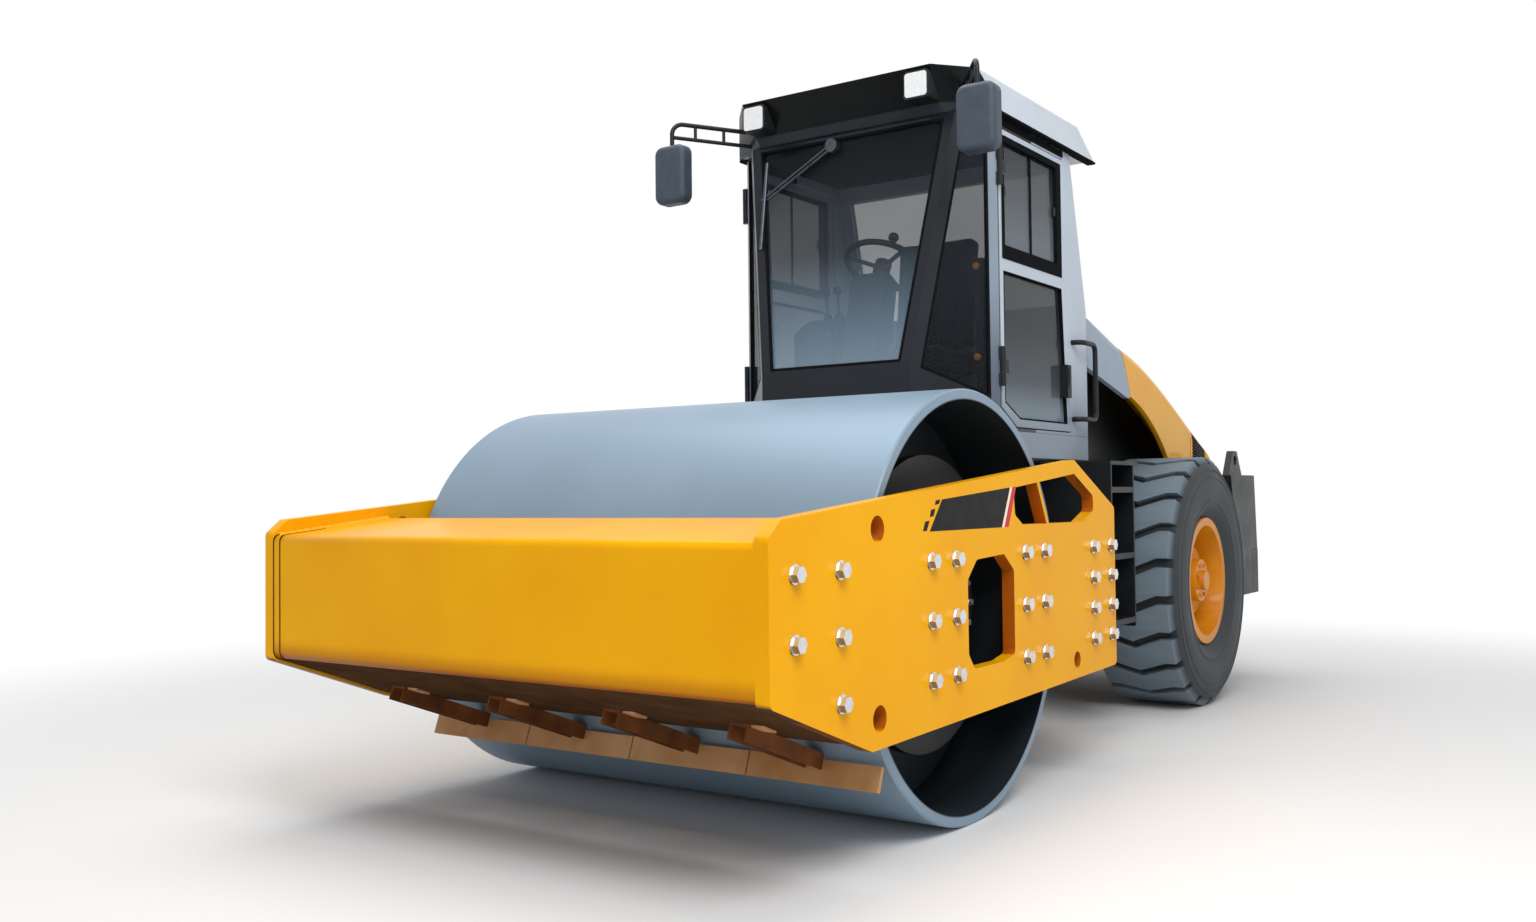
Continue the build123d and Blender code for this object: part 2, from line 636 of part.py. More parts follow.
def cylinder_barrel():
    """Left cylinder barrel with its rear eye and the bore for the rod."""
    anchor, _, along = cylinder_places()
    end = anchor + along * BARREL_LENGTH
    barrel_start = anchor + along * BARREL_NECK
    barrel = rod(tuple(anchor), tuple(barrel_start), NECK_RADIUS) + eye_ring(anchor)
    barrel += rod(tuple(barrel_start), tuple(end), BARREL_RADIUS)
    bore_start = barrel_start + along * SEAM
    return barrel - rod(tuple(bore_start), tuple(end), ROD_RADIUS + RUNNING_GAP)


def cylinder_rod():
    """Left piston rod with its eye above the joint's lug."""
    anchor, eye, along = cylinder_places()
    start = anchor + along * (BARREL_LENGTH - ROD_INSIDE)
    return rod(tuple(start), tuple(eye), ROD_RADIUS) + eye_ring(eye)


def fork_plate(low):
    """Level fork plate of the rear frame with the trunnion's bore."""
    back = PIVOT_X - BULKHEAD_BACK
    outline = [(back, -BEAM_INNER), (back, BEAM_INNER), (PIVOT_X, FORK_NOSE), (PIVOT_X, -FORK_NOSE)]
    plate = plan_slab(outline, low, low + FORK_PLATE)
    plate += rod((PIVOT_X, 0, low), (PIVOT_X, 0, low + FORK_PLATE), FORK_NOSE)
    return plate - rod((PIVOT_X, 0, low), (PIVOT_X, 0, low + FORK_PLATE), TRUNNION_RADIUS + RUNNING_GAP)


def rear_frame():
    """Rear chassis: two beams, bulkhead with fork plates, cab arms, cylinder anchors and tail plate."""
    front = PIVOT_X - BULKHEAD_BACK
    tail = AXLE_X - WEIGHT_FRONT
    fork_low = HITCH_HEIGHT - JOINT_HALF_HEIGHT - SEAM - FORK_PLATE
    fork_high = HITCH_HEIGHT + JOINT_HALF_HEIGHT + SEAM
    frame = block(front - BULKHEAD, front, -BEAM_OUTER, BEAM_OUTER, fork_low, BEAM_HIGH)
    frame -= block(front - BULKHEAD, front, -BEAM_INNER, BEAM_INNER, fork_low + FORK_PLATE, fork_high)
    frame += fork_plate(fork_low)
    frame += fork_plate(fork_high)
    frame += block(tail, tail + BULKHEAD, -BEAM_OUTER, BEAM_OUTER, BEAM_LOW, BEAM_HIGH)
    arm_tip = CAB_X - ARM_TIP
    arm = [(COWL_X, BEAM_HIGH), (front, BEAM_HIGH), (arm_tip, CAB_FLOOR_LOW - ARM_TIP_DEPTH),
           (arm_tip, CAB_FLOOR_LOW), (COWL_X, CAB_FLOOR_LOW)]
    shelf_high = HITCH_HEIGHT - EYE_HEIGHT / 2 - RUNNING_GAP
    shelf_low = shelf_high - ANCHOR_SHELF_PLATE
    shelf_back = PIVOT_X - ANCHOR_BACK - ANCHOR_SHELF
    shelf_front = PIVOT_X - ANCHOR_BACK + ANCHOR_SHELF
    frame += block(shelf_back, shelf_front, -BEAM_OUTER, BEAM_OUTER, shelf_low, shelf_high)
    for side in (-1, 1):
        y_low, y_high = sorted((side * BEAM_INNER, side * BEAM_OUTER))
        frame += block(tail, front, y_low, y_high, BEAM_LOW, BEAM_HIGH)
        frame += side_slab(arm, y_low, y_high)
        frame += block(shelf_back, shelf_front, y_low, y_high, shelf_low, BEAM_LOW)
    return frame


def rear_axle():
    """Axle tube with its differential, brake housings, wheel spindles and seats under the beams."""
    profile = [
        (0, -SPINDLE_END), (SPINDLE_RADIUS, -SPINDLE_END), (SPINDLE_RADIUS, -BRAKE_END),
        (BRAKE_RADIUS, -BRAKE_END), (BRAKE_RADIUS, -AXLE_TUBE_END), (AXLE_TUBE_RADIUS, -AXLE_TUBE_END),
        (AXLE_TUBE_RADIUS, -DIFF_RADIUS), (DIFF_RADIUS, -AXLE_TUBE_RADIUS),
    ]
    profile += [(radius, -y) for radius, y in reversed(profile)]
    axle = turned(profile, AXLE_X, TYRE_RADIUS)
    for side in (-1, 1):
        y_low, y_high = sorted((side * BEAM_INNER, side * BEAM_OUTER))
        axle += block(AXLE_X - AXLE_SEAT, AXLE_X + AXLE_SEAT, y_low, y_high, TYRE_RADIUS, BEAM_LOW)
    return axle


def rim():
    """Left wheel: rim barrel, dished disc and the stepped planetary hub."""
    inner = WHEEL_CENTRE - RIM_HALF_WIDTH
    outer = WHEEL_CENTRE + RIM_HALF_WIDTH
    flange = RIM_FLANGE_RADIUS
    seat = RIM_RADIUS
    well = RIM_RADIUS - RIM_WALL
    bore = SPINDLE_RADIUS + RUNNING_GAP
    disc_in = WHEEL_CENTRE - RIM_DISC / 2
    disc_out = WHEEL_CENTRE + RIM_DISC / 2
    profile = [
        (bore, BRAKE_END + SEAM), (HUB_RADIUS, BRAKE_END + SEAM), (HUB_RADIUS, disc_in), (well, disc_in),
        (well, inner), (flange, inner), (flange, inner + RIM_WALL), (seat, inner + RIM_WALL),
        (seat, outer - RIM_WALL), (flange, outer - RIM_WALL), (flange, outer), (well, outer),
        (well, disc_out), (HUB_RADIUS, disc_out), (HUB_RADIUS, HUB_FACE), (HUB_CAP_RADIUS, HUB_FACE),
        (HUB_CAP_RADIUS, HUB_CAP_END), (HUB_TIP_RADIUS, HUB_CAP_END), (HUB_TIP_RADIUS, HUB_END), (0, HUB_END),
        (0, SPINDLE_END + SEAM), (bore, SPINDLE_END + SEAM),
    ]
    return turned(profile, AXLE_X, TYRE_RADIUS)


def tread_groove():
    """One groove across the tread at the top of the tyre: a chevron, straight at both shoulders."""
    reach = TYRE_WIDTH / 2 + SEAM
    line = [(-LUG_SWEEP / 2, -reach), (-LUG_SWEEP / 2, -LUG_KINK), (LUG_SWEEP / 2, 0),
            (-LUG_SWEEP / 2, LUG_KINK), (-LUG_SWEEP / 2, reach)]
    half = LUG_GROOVE / 2
    ahead = [(AXLE_X + x + half, WHEEL_CENTRE + y) for x, y in line]
    behind = [(AXLE_X + x - half, WHEEL_CENTRE + y) for x, y in reversed(line)]
    return plan_slab(ahead + behind, 2 * TYRE_RADIUS - LUG_HEIGHT, 2 * TYRE_RADIUS + SEAM)


def tyre():
    """Left tyre with its bulged side walls and the traction lugs between the grooves."""
    half = TYRE_WIDTH / 2
    bead = RIM_HALF_WIDTH - RIM_WALL
    right = [
        (RIM_RADIUS, -bead), (RIM_FLANGE_RADIUS, -bead), (TYRE_BEAD_RADIUS, TYRE_BULGE - half),
        (TYRE_BULGE_RADIUS, -half), (TYRE_RADIUS - TYRE_SHOULDER, TYRE_BULGE - half),
        (TYRE_RADIUS, TYRE_SHOULDER_IN - half),
    ]
    profile = right + [(radius, -y) for radius, y in reversed(right)]
    casing = turned([(radius, WHEEL_CENTRE + y) for radius, y in profile], AXLE_X, TYRE_RADIUS)
    groove = tread_groove()
    axle = Axis((AXLE_X, 0, TYRE_RADIUS), (0, 1, 0))
    return casing - [groove.rotate(axle, index * 360 / LUGS) for index in range(LUGS)]


def cab_profile(inset):
    """Cab side profile (x, z), inset at the front and the rear."""
    rear = CAB_X - CAB_REAR + inset
    front = CAB_X - inset
    return [
        (front, CAB_FLOOR_HIGH), (front, CAB_WAIST), (front - SCREEN_LEAN, CAB_TOP),
        (rear + REAR_LEAN, CAB_TOP), (rear, REAR_KNEE), (rear, CAB_FLOOR_HIGH),
    ]


def cab_plan(inset):
    """Cab plan (x, y) with its chamfered front corners, inset all round and open at the nose and the rear."""
    side = CAB_HALF_WIDTH - inset
    slope = CORNER_SIDE / CORNER_BACK
    half_turn = hypot(1, slope) - slope
    post = CAB_X - CORNER_BACK - inset * half_turn
    nose = CAB_X + CAB_WALL
    narrow = side - slope * (nose - post)
    rear = CAB_X - CAB_REAR - CAB_WALL
    return [(nose, -narrow), (nose, narrow), (post, side), (rear, side), (rear, -side), (post, -side)]


def cab_body(inset):
    """Solid of the cab's outer form above its floor, inset by a wall."""
    form = side_slab(cab_profile(inset), -CAB_HALF_WIDTH, CAB_HALF_WIDTH)
    return form & plan_slab(cab_plan(inset), CAB_FLOOR_HIGH, CAB_TOP)


def door_outline(inset):
    """Door outline (x, z), inset by a seam or a stile."""
    front = CAB_X - DOOR_FRONT - inset
    rear = CAB_X - DOOR_REAR_HIGH + inset
    bevel_turn = DOOR_BEVEL_BACK / (hypot(DOOR_BEVEL_BACK, DOOR_BEVEL_RISE) + DOOR_BEVEL_RISE)
    return [
        (front, DOOR_HIGH - inset), (front, DOOR_LOW + DOOR_BEVEL_RISE + inset * bevel_turn),
        (front - DOOR_BEVEL_BACK, DOOR_LOW + inset), (CAB_X - DOOR_REAR_LOW + inset, DOOR_LOW + inset),
        (rear, WAIST_RAIL_HIGH), (rear, DOOR_HIGH - inset),
    ]


def screen_x(z):
    """Outer face of the windscreen at a height."""
    return CAB_X - SCREEN_LEAN * (z - CAB_WAIST) / (CAB_TOP - CAB_WAIST)


def screen_opening():
    """Through cut for the windscreen, as wide as the front face less its pillars."""
    slope = CORNER_SIDE / CORNER_BACK
    post = CAB_X - CORNER_BACK
    corners = []
    for z in (CAB_WAIST, CAB_TOP - HEADER):
        corners.append((CAB_HALF_WIDTH - slope * (screen_x(z) - post) - PILLAR, z))
    outline = [(-corners[0][0], corners[0][1]), corners[0], corners[1], (-corners[1][0], corners[1][1])]
    return front_slab(outline, CAB_X - SCREEN_LEAN - 2 * CAB_WALL, CAB_X + CAB_WALL)


def corner_plane():
    """Plane of the left corner pane's outer face, its local x running back to the door post."""
    post = (CAB_X - CORNER_BACK, CAB_HALF_WIDTH, 0)
    run = Vector(-CORNER_BACK, CORNER_SIDE, 0).normalized()
    normal = Vector(CORNER_SIDE, CORNER_BACK, 0).normalized()
    return Plane(origin=post, x_dir=tuple(run), z_dir=tuple(normal))


def corner_outline():
    """Corner pane (run from the post, z): sloping foot, leaning front pillar, upright door post."""
    run = hypot(CORNER_BACK, CORNER_SIDE)
    lean = SCREEN_LEAN * run / CORNER_BACK
    front = run - PILLAR
    top = CAB_TOP - HEADER
    foot = CAB_WAIST - CORNER_FOOT_DROP
    return [(-PILLAR, CORNER_FOOT), (-front, foot), (lean - front, top), (-PILLAR, top)]


def corner_opening(depth_in, depth_out):
    """Solid through the left corner wall, from depth_in below its face to depth_out above."""
    plane = corner_plane().offset(depth_out)
    return extrude(plane * make_face(Polyline(*corner_outline(), close=True)), -(depth_in + depth_out))


def rear_window_opening():
    """Through cut for the rear window in the leaning upper wall."""
    half = CAB_HALF_WIDTH - REAR_POST
    low = REAR_KNEE + REAR_SILL
    high = CAB_TOP - REAR_HEADER
    rear = CAB_X - CAB_REAR
    outline = [(-half, low), (half, low), (half, high), (-half, high)]
    return front_slab(outline, rear - CAB_WALL, rear + REAR_LEAN + 2 * CAB_WALL)


def cab_walls():
    """Cab walls with every window and both doorways cut, before they are parted."""
    walls = cab_body(0) - cab_body(CAB_WALL)
    walls -= screen_opening()
    walls -= rear_window_opening()
    doorway = side_slab(door_outline(0), CAB_HALF_WIDTH - CAB_WALL, CAB_HALF_WIDTH)
    corner = corner_opening(3 * CAB_WALL, CAB_WALL)
    for cut in (doorway, corner):
        walls -= cut
        walls -= right_of(cut)
    return walls


def hinge_axis():
    """Plan position (x, y) of the left door's hinge axis."""
    return CAB_X - DOOR_FRONT + SEAM, CAB_HALF_WIDTH + HINGE_OUT


def hinge_leaf(z_low, z_high, toward):
    """One hinge knuckle with its leaf: on the post (+1) or bridged clear of the post to the door (-1)."""
    axis_x, axis_y = hinge_axis()
    face = CAB_HALF_WIDTH
    if toward > 0:
        leaf = block(axis_x - SEAM, axis_x + HINGE_RADIUS, face, axis_y, z_low, z_high)
    else:
        seat = axis_x - 2 * SEAM - RUNNING_GAP
        leaf = block(axis_x - HINGE_LEAF, seat, face, axis_y, z_low, z_high)
        leaf += block(seat, axis_x, face + HINGE_LIFT, axis_y, z_low, z_high)
    return leaf + rod((axis_x, axis_y, z_low), (axis_x, axis_y, z_high), HINGE_RADIUS)


def waist_rail():
    """Slab in which the left door's middle rail lies."""
    inside = CAB_HALF_WIDTH - CAB_WALL
    return block(CAB_X - CAB_REAR, CAB_X, inside, CAB_HALF_WIDTH, WAIST_RAIL_LOW, WAIST_RAIL_HIGH)


def door():
    """Left door frame with its two glazed openings, hinge leaves and pull handle."""
    outer = side_slab(door_outline(SEAM), CAB_HALF_WIDTH - DOOR_THICK, CAB_HALF_WIDTH)
    inner = side_slab(door_outline(DOOR_STILE), CAB_HALF_WIDTH - DOOR_THICK, CAB_HALF_WIDTH)
    frame = outer - (inner - waist_rail())
    for level in HINGE_LEVELS:
        frame += hinge_leaf(level, level + HINGE_HEIGHT, -1)
    handle_x = CAB_X - DOOR_REAR_LOW + HANDLE_BACK
    handle = block(handle_x - HANDLE_WIDTH / 2, handle_x + HANDLE_WIDTH / 2,
                   CAB_HALF_WIDTH - DOOR_THICK / 2, CAB_HALF_WIDTH + HANDLE_OUT, HANDLE_LOW, HANDLE_HIGH)
    return frame + handle


def door_glass(frame):
    """Left door panes, seated in the frame's openings."""
    middle = CAB_HALF_WIDTH - DOOR_THICK / 2
    inner = side_slab(door_outline(DOOR_STILE), middle - GLASS / 2, middle + GLASS / 2)
    return inner - waist_rail() - frame


def roof_form():
    """Whole roof with its leaning front fascia, chamfered corners and flared sides."""
    rear = CAB_X - CAB_REAR - ROOF_TAIL
    lip = CAB_HALF_WIDTH + ROOF_LIP
    shoulder = CAB_HALF_WIDTH - ROOF_SHOULDER
    nose_low = (CAB_X - ROOF_NOSE_LOW, CAB_HALF_WIDTH - ROOF_NOSE_SIDE_LOW)
    nose_high = (CAB_X - ROOF_NOSE_HIGH, CAB_HALF_WIDTH - ROOF_NOSE_SIDE_HIGH)
    low = [nose_low, (CAB_X - ROOF_CORNER_LOW, lip), (rear, lip)]
    high = [nose_high, (CAB_X - ROOF_CORNER_HIGH, shoulder), (rear + ROOF_TAIL_LEAN, shoulder)]
    faces = []
    for outline, z in ((low, CAB_TOP), (high, ROOF_TOP)):
        points = outline + [(x, -y) for x, y in reversed(outline)]
        faces.append(Plane.XY.offset(z) * make_face(Polyline(*points, close=True)))
    return loft(faces, ruled=True)


def lamp(x_low, x_high, y, z):
    """One square lamp with rounded corners."""
    half = LAMP_SIZE / 2
    pod = block(x_low, x_high, y - half, y + half, z - half, z + half)
    return fillet(pod.edges().filter_by(Axis.X), LAMP_CORNER)


def head_lamps(roof):
    """Four square lamps: two on the fascia, two under the roof's rear edge."""
    front = CAB_X - LAMP_BACK
    rear = CAB_X - CAB_REAR - ROOF_TAIL
    side = CAB_HALF_WIDTH - LAMP_SIDE
    lamps = []
    for y in (-side, side):
        lamps.append(lamp(front - LAMP_DEPTH, front, y, LAMP_LEVEL) - roof)
        lamps.append(lamp(rear - REAR_LAMP_OUT, rear + REAR_LAMP_IN, y, REAR_LAMP_LEVEL) - roof)
    return lamps


def mirror_arm(roof):
    """Left two-tube mirror arm with two rungs and its drop to the mirror."""
    tip = Vector(CAB_X + MIRROR_AHEAD, CAB_HALF_WIDTH + MIRROR_SIDE, 0)
    root = Vector(CAB_X - ARM_ROOT_BACK, CAB_HALF_WIDTH - ARM_ROOT_SIDE, 0)
    drop = MIRROR_LEVEL + MIRROR_HEIGHT / 2 - ARM_SEAT
    upper = [(root.X, root.Y, ARM_UPPER), (tip.X, tip.Y, ARM_UPPER + ARM_RISE), (tip.X, tip.Y, drop)]
    arm = bent_tube(upper, ARM_BEND, ARM_TUBE)
    arm += rod((root.X, root.Y, ARM_LOWER), (tip.X, tip.Y, ARM_LOWER + ARM_RISE), ARM_LOWER_TUBE)
    for share in ARM_RUNGS:
        place = root + (tip - root) * share
        rise = ARM_RISE * share
        arm += rod((place.X, place.Y, ARM_LOWER + rise), (place.X, place.Y, ARM_UPPER + rise), ARM_RUNG)
    return arm - roof


def mirror_head(arm):
    """Left mirror's rounded shell on its arm."""
    head = Box(MIRROR_DEPTH, MIRROR_WIDTH, MIRROR_HEIGHT)
    head = fillet(head.edges().filter_by(Axis.X), MIRROR_CORNER)
    head = fillet(head.faces().sort_by(Axis.X)[-1].edges(), MIRROR_ROUND)
    return Pos(CAB_X + MIRROR_AHEAD, CAB_HALF_WIDTH + MIRROR_SIDE, MIRROR_LEVEL) * head - arm


def wiper():
    """Pantograph wiper: motor boss under the fascia, two arms and the blade on the windscreen."""
    hub_x = screen_x(WIPER_HUB_LEVEL)
    boss_start = (hub_x - WIPER_ARM, WIPER_HUB_SIDE, WIPER_HUB_LEVEL)
    boss_end = (hub_x + WIPER_OFF + 2 * WIPER_ARM, WIPER_HUB_SIDE, WIPER_HUB_LEVEL)
    whole = rod(boss_start, boss_end, WIPER_HUB_RADIUS)
    for shift in (-WIPER_ARM_PITCH / 2, WIPER_ARM_PITCH / 2):
        hub = (hub_x + WIPER_OFF, WIPER_HUB_SIDE + shift, WIPER_HUB_LEVEL)
        tip = (screen_x(WIPER_TIP_LEVEL) + WIPER_OFF, WIPER_TIP_SIDE + shift, WIPER_TIP_LEVEL)
        whole += rod(hub, tip, WIPER_ARM)
    low = (screen_x(WIPER_BLADE_LOW) + WIPER_OFF, WIPER_TIP_SIDE, WIPER_BLADE_LOW)
    high = (screen_x(WIPER_BLADE_HIGH) + WIPER_OFF, WIPER_TIP_SIDE, WIPER_BLADE_HIGH)
    whole += rod(low, high, WIPER_BLADE)
    return whole - screen_glass()


def screen_glass():
    """Windscreen pane flush with the front frame."""
    return (cab_body(GLASS_INSET) - cab_body(GLASS_INSET + GLASS)) & screen_opening()


def rear_glass():
    """Rear window pane."""
    return (cab_body(REAR_GLASS_INSET) - cab_body(REAR_GLASS_INSET + GLASS)) & rear_window_opening()


def cab_floor():
    """Floor pan in the chamfered plan of the cab."""
    rear = CAB_X - CAB_REAR
    pan = plan_slab(cab_plan(0), CAB_FLOOR_LOW, CAB_FLOOR_HIGH)
    return pan & block(rear, CAB_X, -CAB_HALF_WIDTH, CAB_HALF_WIDTH, CAB_FLOOR_LOW, CAB_FLOOR_HIGH)


def seat_base():
    """Seat pedestal on the cab floor."""
    foot_high = CAB_FLOOR_HIGH + SEAT_FOOT_PLATE
    side = SEAT_FOOT_HALF_WIDTH
    foot = block(SEAT_X - SEAT_FOOT, SEAT_X + SEAT_FOOT, -side, side, CAB_FLOOR_HIGH, foot_high)
    side = SEAT_STEM_HALF_WIDTH
    stem = block(SEAT_X - SEAT_STEM, SEAT_X + SEAT_STEM, -side, side, foot_high, CAB_FLOOR_HIGH + SEAT_HEIGHT)
    return foot + fillet(stem.edges().filter_by(Axis.Z), SEAT_STEM_CORNER)


def seat_cushion():
    """Seat cushion."""
    base = CAB_FLOOR_HIGH + SEAT_HEIGHT
    side = CUSHION_HALF_WIDTH
    cushion = block(SEAT_X - CUSHION_REAR, SEAT_X + CUSHION_FRONT, -side, side, base, base + CUSHION)
    return fillet(cushion.edges(), CUSHION_ROUND)


def seat_back():
    """Backrest, leaning back, its lowest edge on the cushion."""
    lean = radians(BACKREST_LEAN)
    lift = (BACKREST / 2 - CUSHION_ROUND) * sin(lean) + CUSHION_ROUND * (1 - cos(lean))
    base = CAB_FLOOR_HIGH + SEAT_HEIGHT + CUSHION + RUNNING_GAP + lift
    back = Pos(0, 0, BACKREST_HEIGHT / 2) * Box(BACKREST, BACKREST_WIDTH, BACKREST_HEIGHT)
    back = fillet(back.edges(), CUSHION_ROUND)
    return Pos(SEAT_X - BACKREST_SET, 0, base) * Rot(0, -BACKREST_LEAN, 0) * back


def steering_column():
    """Column with its shroud, leaning to the driver, and a three-spoke wheel."""
    foot = CAB_X - COLUMN_BACK
    wheel = Vector(CAB_X - STEERING_BACK, 0, CAB_FLOOR_HIGH + STEERING_HEIGHT)
    tilt = radians(STEERING_TILT)
    normal = Vector(-sin(tilt), 0, cos(tilt))
    neck = wheel - normal * SHAFT_LENGTH
    shroud = [(foot - COLUMN_FOOT, CAB_FLOOR_HIGH), (foot + COLUMN_FOOT, CAB_FLOOR_HIGH),
              (neck.X + COLUMN_HEAD * cos(tilt), neck.Z + COLUMN_HEAD * sin(tilt) + COLUMN_HEAD),
              (neck.X - COLUMN_HEAD * cos(tilt), neck.Z - COLUMN_HEAD * sin(tilt) + COLUMN_HEAD)]
    column = side_slab(shroud, -COLUMN_HALF_WIDTH, COLUMN_HALF_WIDTH)
    column += rod(tuple(neck), tuple(wheel), SHAFT_RADIUS)
    plane = Plane(origin=tuple(wheel), x_dir=(0, 1, 0), z_dir=tuple(normal))
    column += plane * Torus(STEERING_RADIUS, STEERING_RING)
    column += plane * (Pos(0, 0, -STEERING_RING) * Cylinder(STEERING_HUB, 4 * STEERING_RING))
    for index in range(SPOKES):
        angle = radians(90 + index * 360 / SPOKES)
        tip = (STEERING_RADIUS * cos(angle), STEERING_RADIUS * sin(angle), 0)
        column += plane * rod((0, 0, -STEERING_RING), tip, SPOKE_RADIUS)
    return column


def console():
    """Right-hand console beside the seat, with its sloping control face."""
    front = SEAT_X + CONSOLE_FRONT
    rear = SEAT_X - CONSOLE_REAR
    levels = [CAB_FLOOR_HIGH + level for level in CONSOLE_LEVELS]
    outline = [(rear, CAB_FLOOR_HIGH), (front, CAB_FLOOR_HIGH), (front, levels[0]),
               (SEAT_X + CONSOLE_KNEE, levels[1]), (rear, levels[2])]
    slab = side_slab(outline, CONSOLE_WALL_GAP - CAB_HALF_WIDTH, -CUSHION_HALF_WIDTH - CONSOLE_GAP)
    return fillet(slab.edges().filter_by(Axis.Y).group_by(Axis.Z)[1:], CONSOLE_ROUND)


def grab_handle():
    """Left grab rail: a loop on the rear pillar that turns back round the cab's corner."""
    wall = CAB_HALF_WIDTH
    out = wall + RAIL_OUT
    back = CAB_X - CAB_REAR + RAIL_BACK
    ahead = back + RAIL_LENGTH
    points = [(ahead, wall, RAIL_HIGH), (ahead, out, RAIL_HIGH), (back, out, RAIL_HIGH),
              (back, out, RAIL_LOW), (ahead, out, RAIL_LOW), (ahead, wall, RAIL_LOW)]
    return bent_tube(points, RAIL_BEND, RAIL_RADIUS)


def step_plate(x):
    """One side plate of the left ladder, with the arm that seats on the rear beam."""
    high = DECK_HIGH - DECK_PLATE
    outline = [(BEAM_OUTER, STEP_KNEE), (BEAM_OUTER, BEAM_HIGH), (BEAM_OUTER + DECK_BRACE, high),
               (STEP_OUTER, high), (STEP_OUTER, STEP_LOW), (STEP_OUTER - STEP_LOW_DEPTH, STEP_LOW),
               (STEP_INNER, STEP_KNEE)]
    return front_slab(outline, x, x + STEP_PLATE)


def ladder():
    """Left access ladder: two side plates, three treads and the deck plate."""
    deck_back = AXLE_X + TYRE_RADIUS + STEP_TYRE_GAP
    back = deck_back + DECK_TAIL
    front = back + STEP_LENGTH
    parts = step_plate(front - STEP_PLATE) + step_plate(back)
    narrowing = (STEP_OUTER - STEP_LOW_DEPTH - STEP_INNER) / (STEP_KNEE - STEP_LOW)
    for level in STEP_LEVELS:
        inner = STEP_INNER + narrowing * max(0, STEP_KNEE - level)
        parts += block(back, front, inner, STEP_OUTER, level - TREAD, level)
    return parts + block(deck_back, front, BEAM_OUTER, STEP_OUTER, DECK_HIGH - DECK_PLATE, DECK_HIGH)


def counterweight():
    """Low bar of the rear counterweight, rounded at its rear corners."""
    rear = AXLE_X - REAR_REACH
    front = AXLE_X - WEIGHT_FRONT
    bar = block(rear, front, -WEIGHT_HALF_WIDTH, WEIGHT_HALF_WIDTH, WEIGHT_LOW, WEIGHT_STEP)
    return fillet(bar.edges().filter_by(Axis.Z).group_by(Axis.X)[0], WEIGHT_CORNER)


def tail_tower(bar):
    """Left tower of the counterweight: front slanted along the tyre, lifting eye on top."""
    outline = [(TOWER_TOP_FRONT, WEIGHT_HIGH), (TOWER_MIDDLE_FRONT, TOWER_MIDDLE),
               (TOWER_LOW_FRONT, WEIGHT_LOW), (WEIGHT_FRONT, WEIGHT_LOW),
               (REAR_REACH - WEIGHT_CORNER, WEIGHT_STEP), (TOWER_TOP_BACK, WEIGHT_HIGH)]
    tower = side_slab([(AXLE_X - back, z) for back, z in outline], TOWER_INNER, WEIGHT_HALF_WIDTH)
    tower -= bar
    eye_x = AXLE_X - LIFTING_BACK
    eye_out = WEIGHT_HALF_WIDTH - LIFTING_INSET
    eye_in = eye_out - LIFTING_PLATE
    eye = [(eye_x - LIFTING_FOOT, WEIGHT_HIGH), (eye_x + LIFTING_FOOT, WEIGHT_HIGH),
           (eye_x + LIFTING_HEAD, LIFTING_TOP), (eye_x - LIFTING_HEAD, LIFTING_TOP)]
    tower += side_slab(eye, eye_in, eye_out)
    level = LIFTING_EYE_LEVEL
    return tower - rod((eye_x, eye_in, level), (eye_x, eye_out, level), LIFTING_EYE_RADIUS)


def rear_grille():
    """Radiator grille between the towers: frame with a middle post and falling slats."""
    front = AXLE_X - WEIGHT_FRONT
    back = front - GRILLE_DEPTH
    side = TOWER_INNER - GRILLE_BORDER
    low = WEIGHT_STEP + GRILLE_BORDER
    high = WEIGHT_HIGH - GRILLE_BORDER
    grille = block(back, front, -TOWER_INNER, TOWER_INNER, WEIGHT_STEP, WEIGHT_HIGH)
    grille -= block(back, front, -side, side, low, high)
    pitch = (high - low) / GRILLE_SLATS
    for index in range(GRILLE_SLATS):
        z = low + (index + 0.5) * pitch - GRILLE_SLAT / 2
        section = [(back, z - GRILLE_SLAT_DROP / 2), (back, z - GRILLE_SLAT_DROP / 2 + GRILLE_SLAT),
                   (front, z + GRILLE_SLAT_DROP / 2 + GRILLE_SLAT), (front, z + GRILLE_SLAT_DROP / 2)]
        grille += side_slab(section, -side, side)
    return grille + block(back, front, -GRILLE_POST / 2, GRILLE_POST / 2, low, high)


def hood_top(inset):
    """Hood's falling top line (x, z) from its hinge to its rear edge."""
    line = [(HOOD_FRONT, HOOD_FRONT_TOP), *HOOD_TOP_LINE, (HOOD_REAR_SLOPE - HOOD_REAR, HOOD_REAR_TOP)]
    return [(AXLE_X + x, z - inset) for x, z in line]


def domed_slab(inset, lower, y_low, y_high):
    """Extrude the region below the hood's curved top, closed by the edges of its lower outline."""
    top = Spline(*hood_top(inset))
    face = make_face([top, *lower(top @ 1, top @ 0)])
    plane = Plane(origin=(0, y_high, 0), x_dir=(1, 0, 0), z_dir=(0, -1, 0))
    return extrude(plane * face, y_high - y_low)


def hood_sides(rear_top, front_top):
    """Rear wall, feet and round wheel arch of the hood, from its rear top corner to its front one."""
    foot = (AXLE_X - HOOD_REAR, HOOD_FOOT)
    arch_foot = (AXLE_X - HOOD_ARCH_FOOT, HOOD_FOOT)
    arch_end, arch_middle = [(AXLE_X + x, z) for x, z in (HOOD_ARCH_END, HOOD_ARCH_MIDDLE)]
    arch_front = (AXLE_X + HOOD_FRONT - HOOD_ARCH_FRONT, HOOD_ARCH_HIGH)
    outline = Polyline(rear_top, foot, arch_foot, arch_end)
    return [outline, ThreePointArc(arch_end, arch_middle, arch_front), Line(arch_front, front_top)]


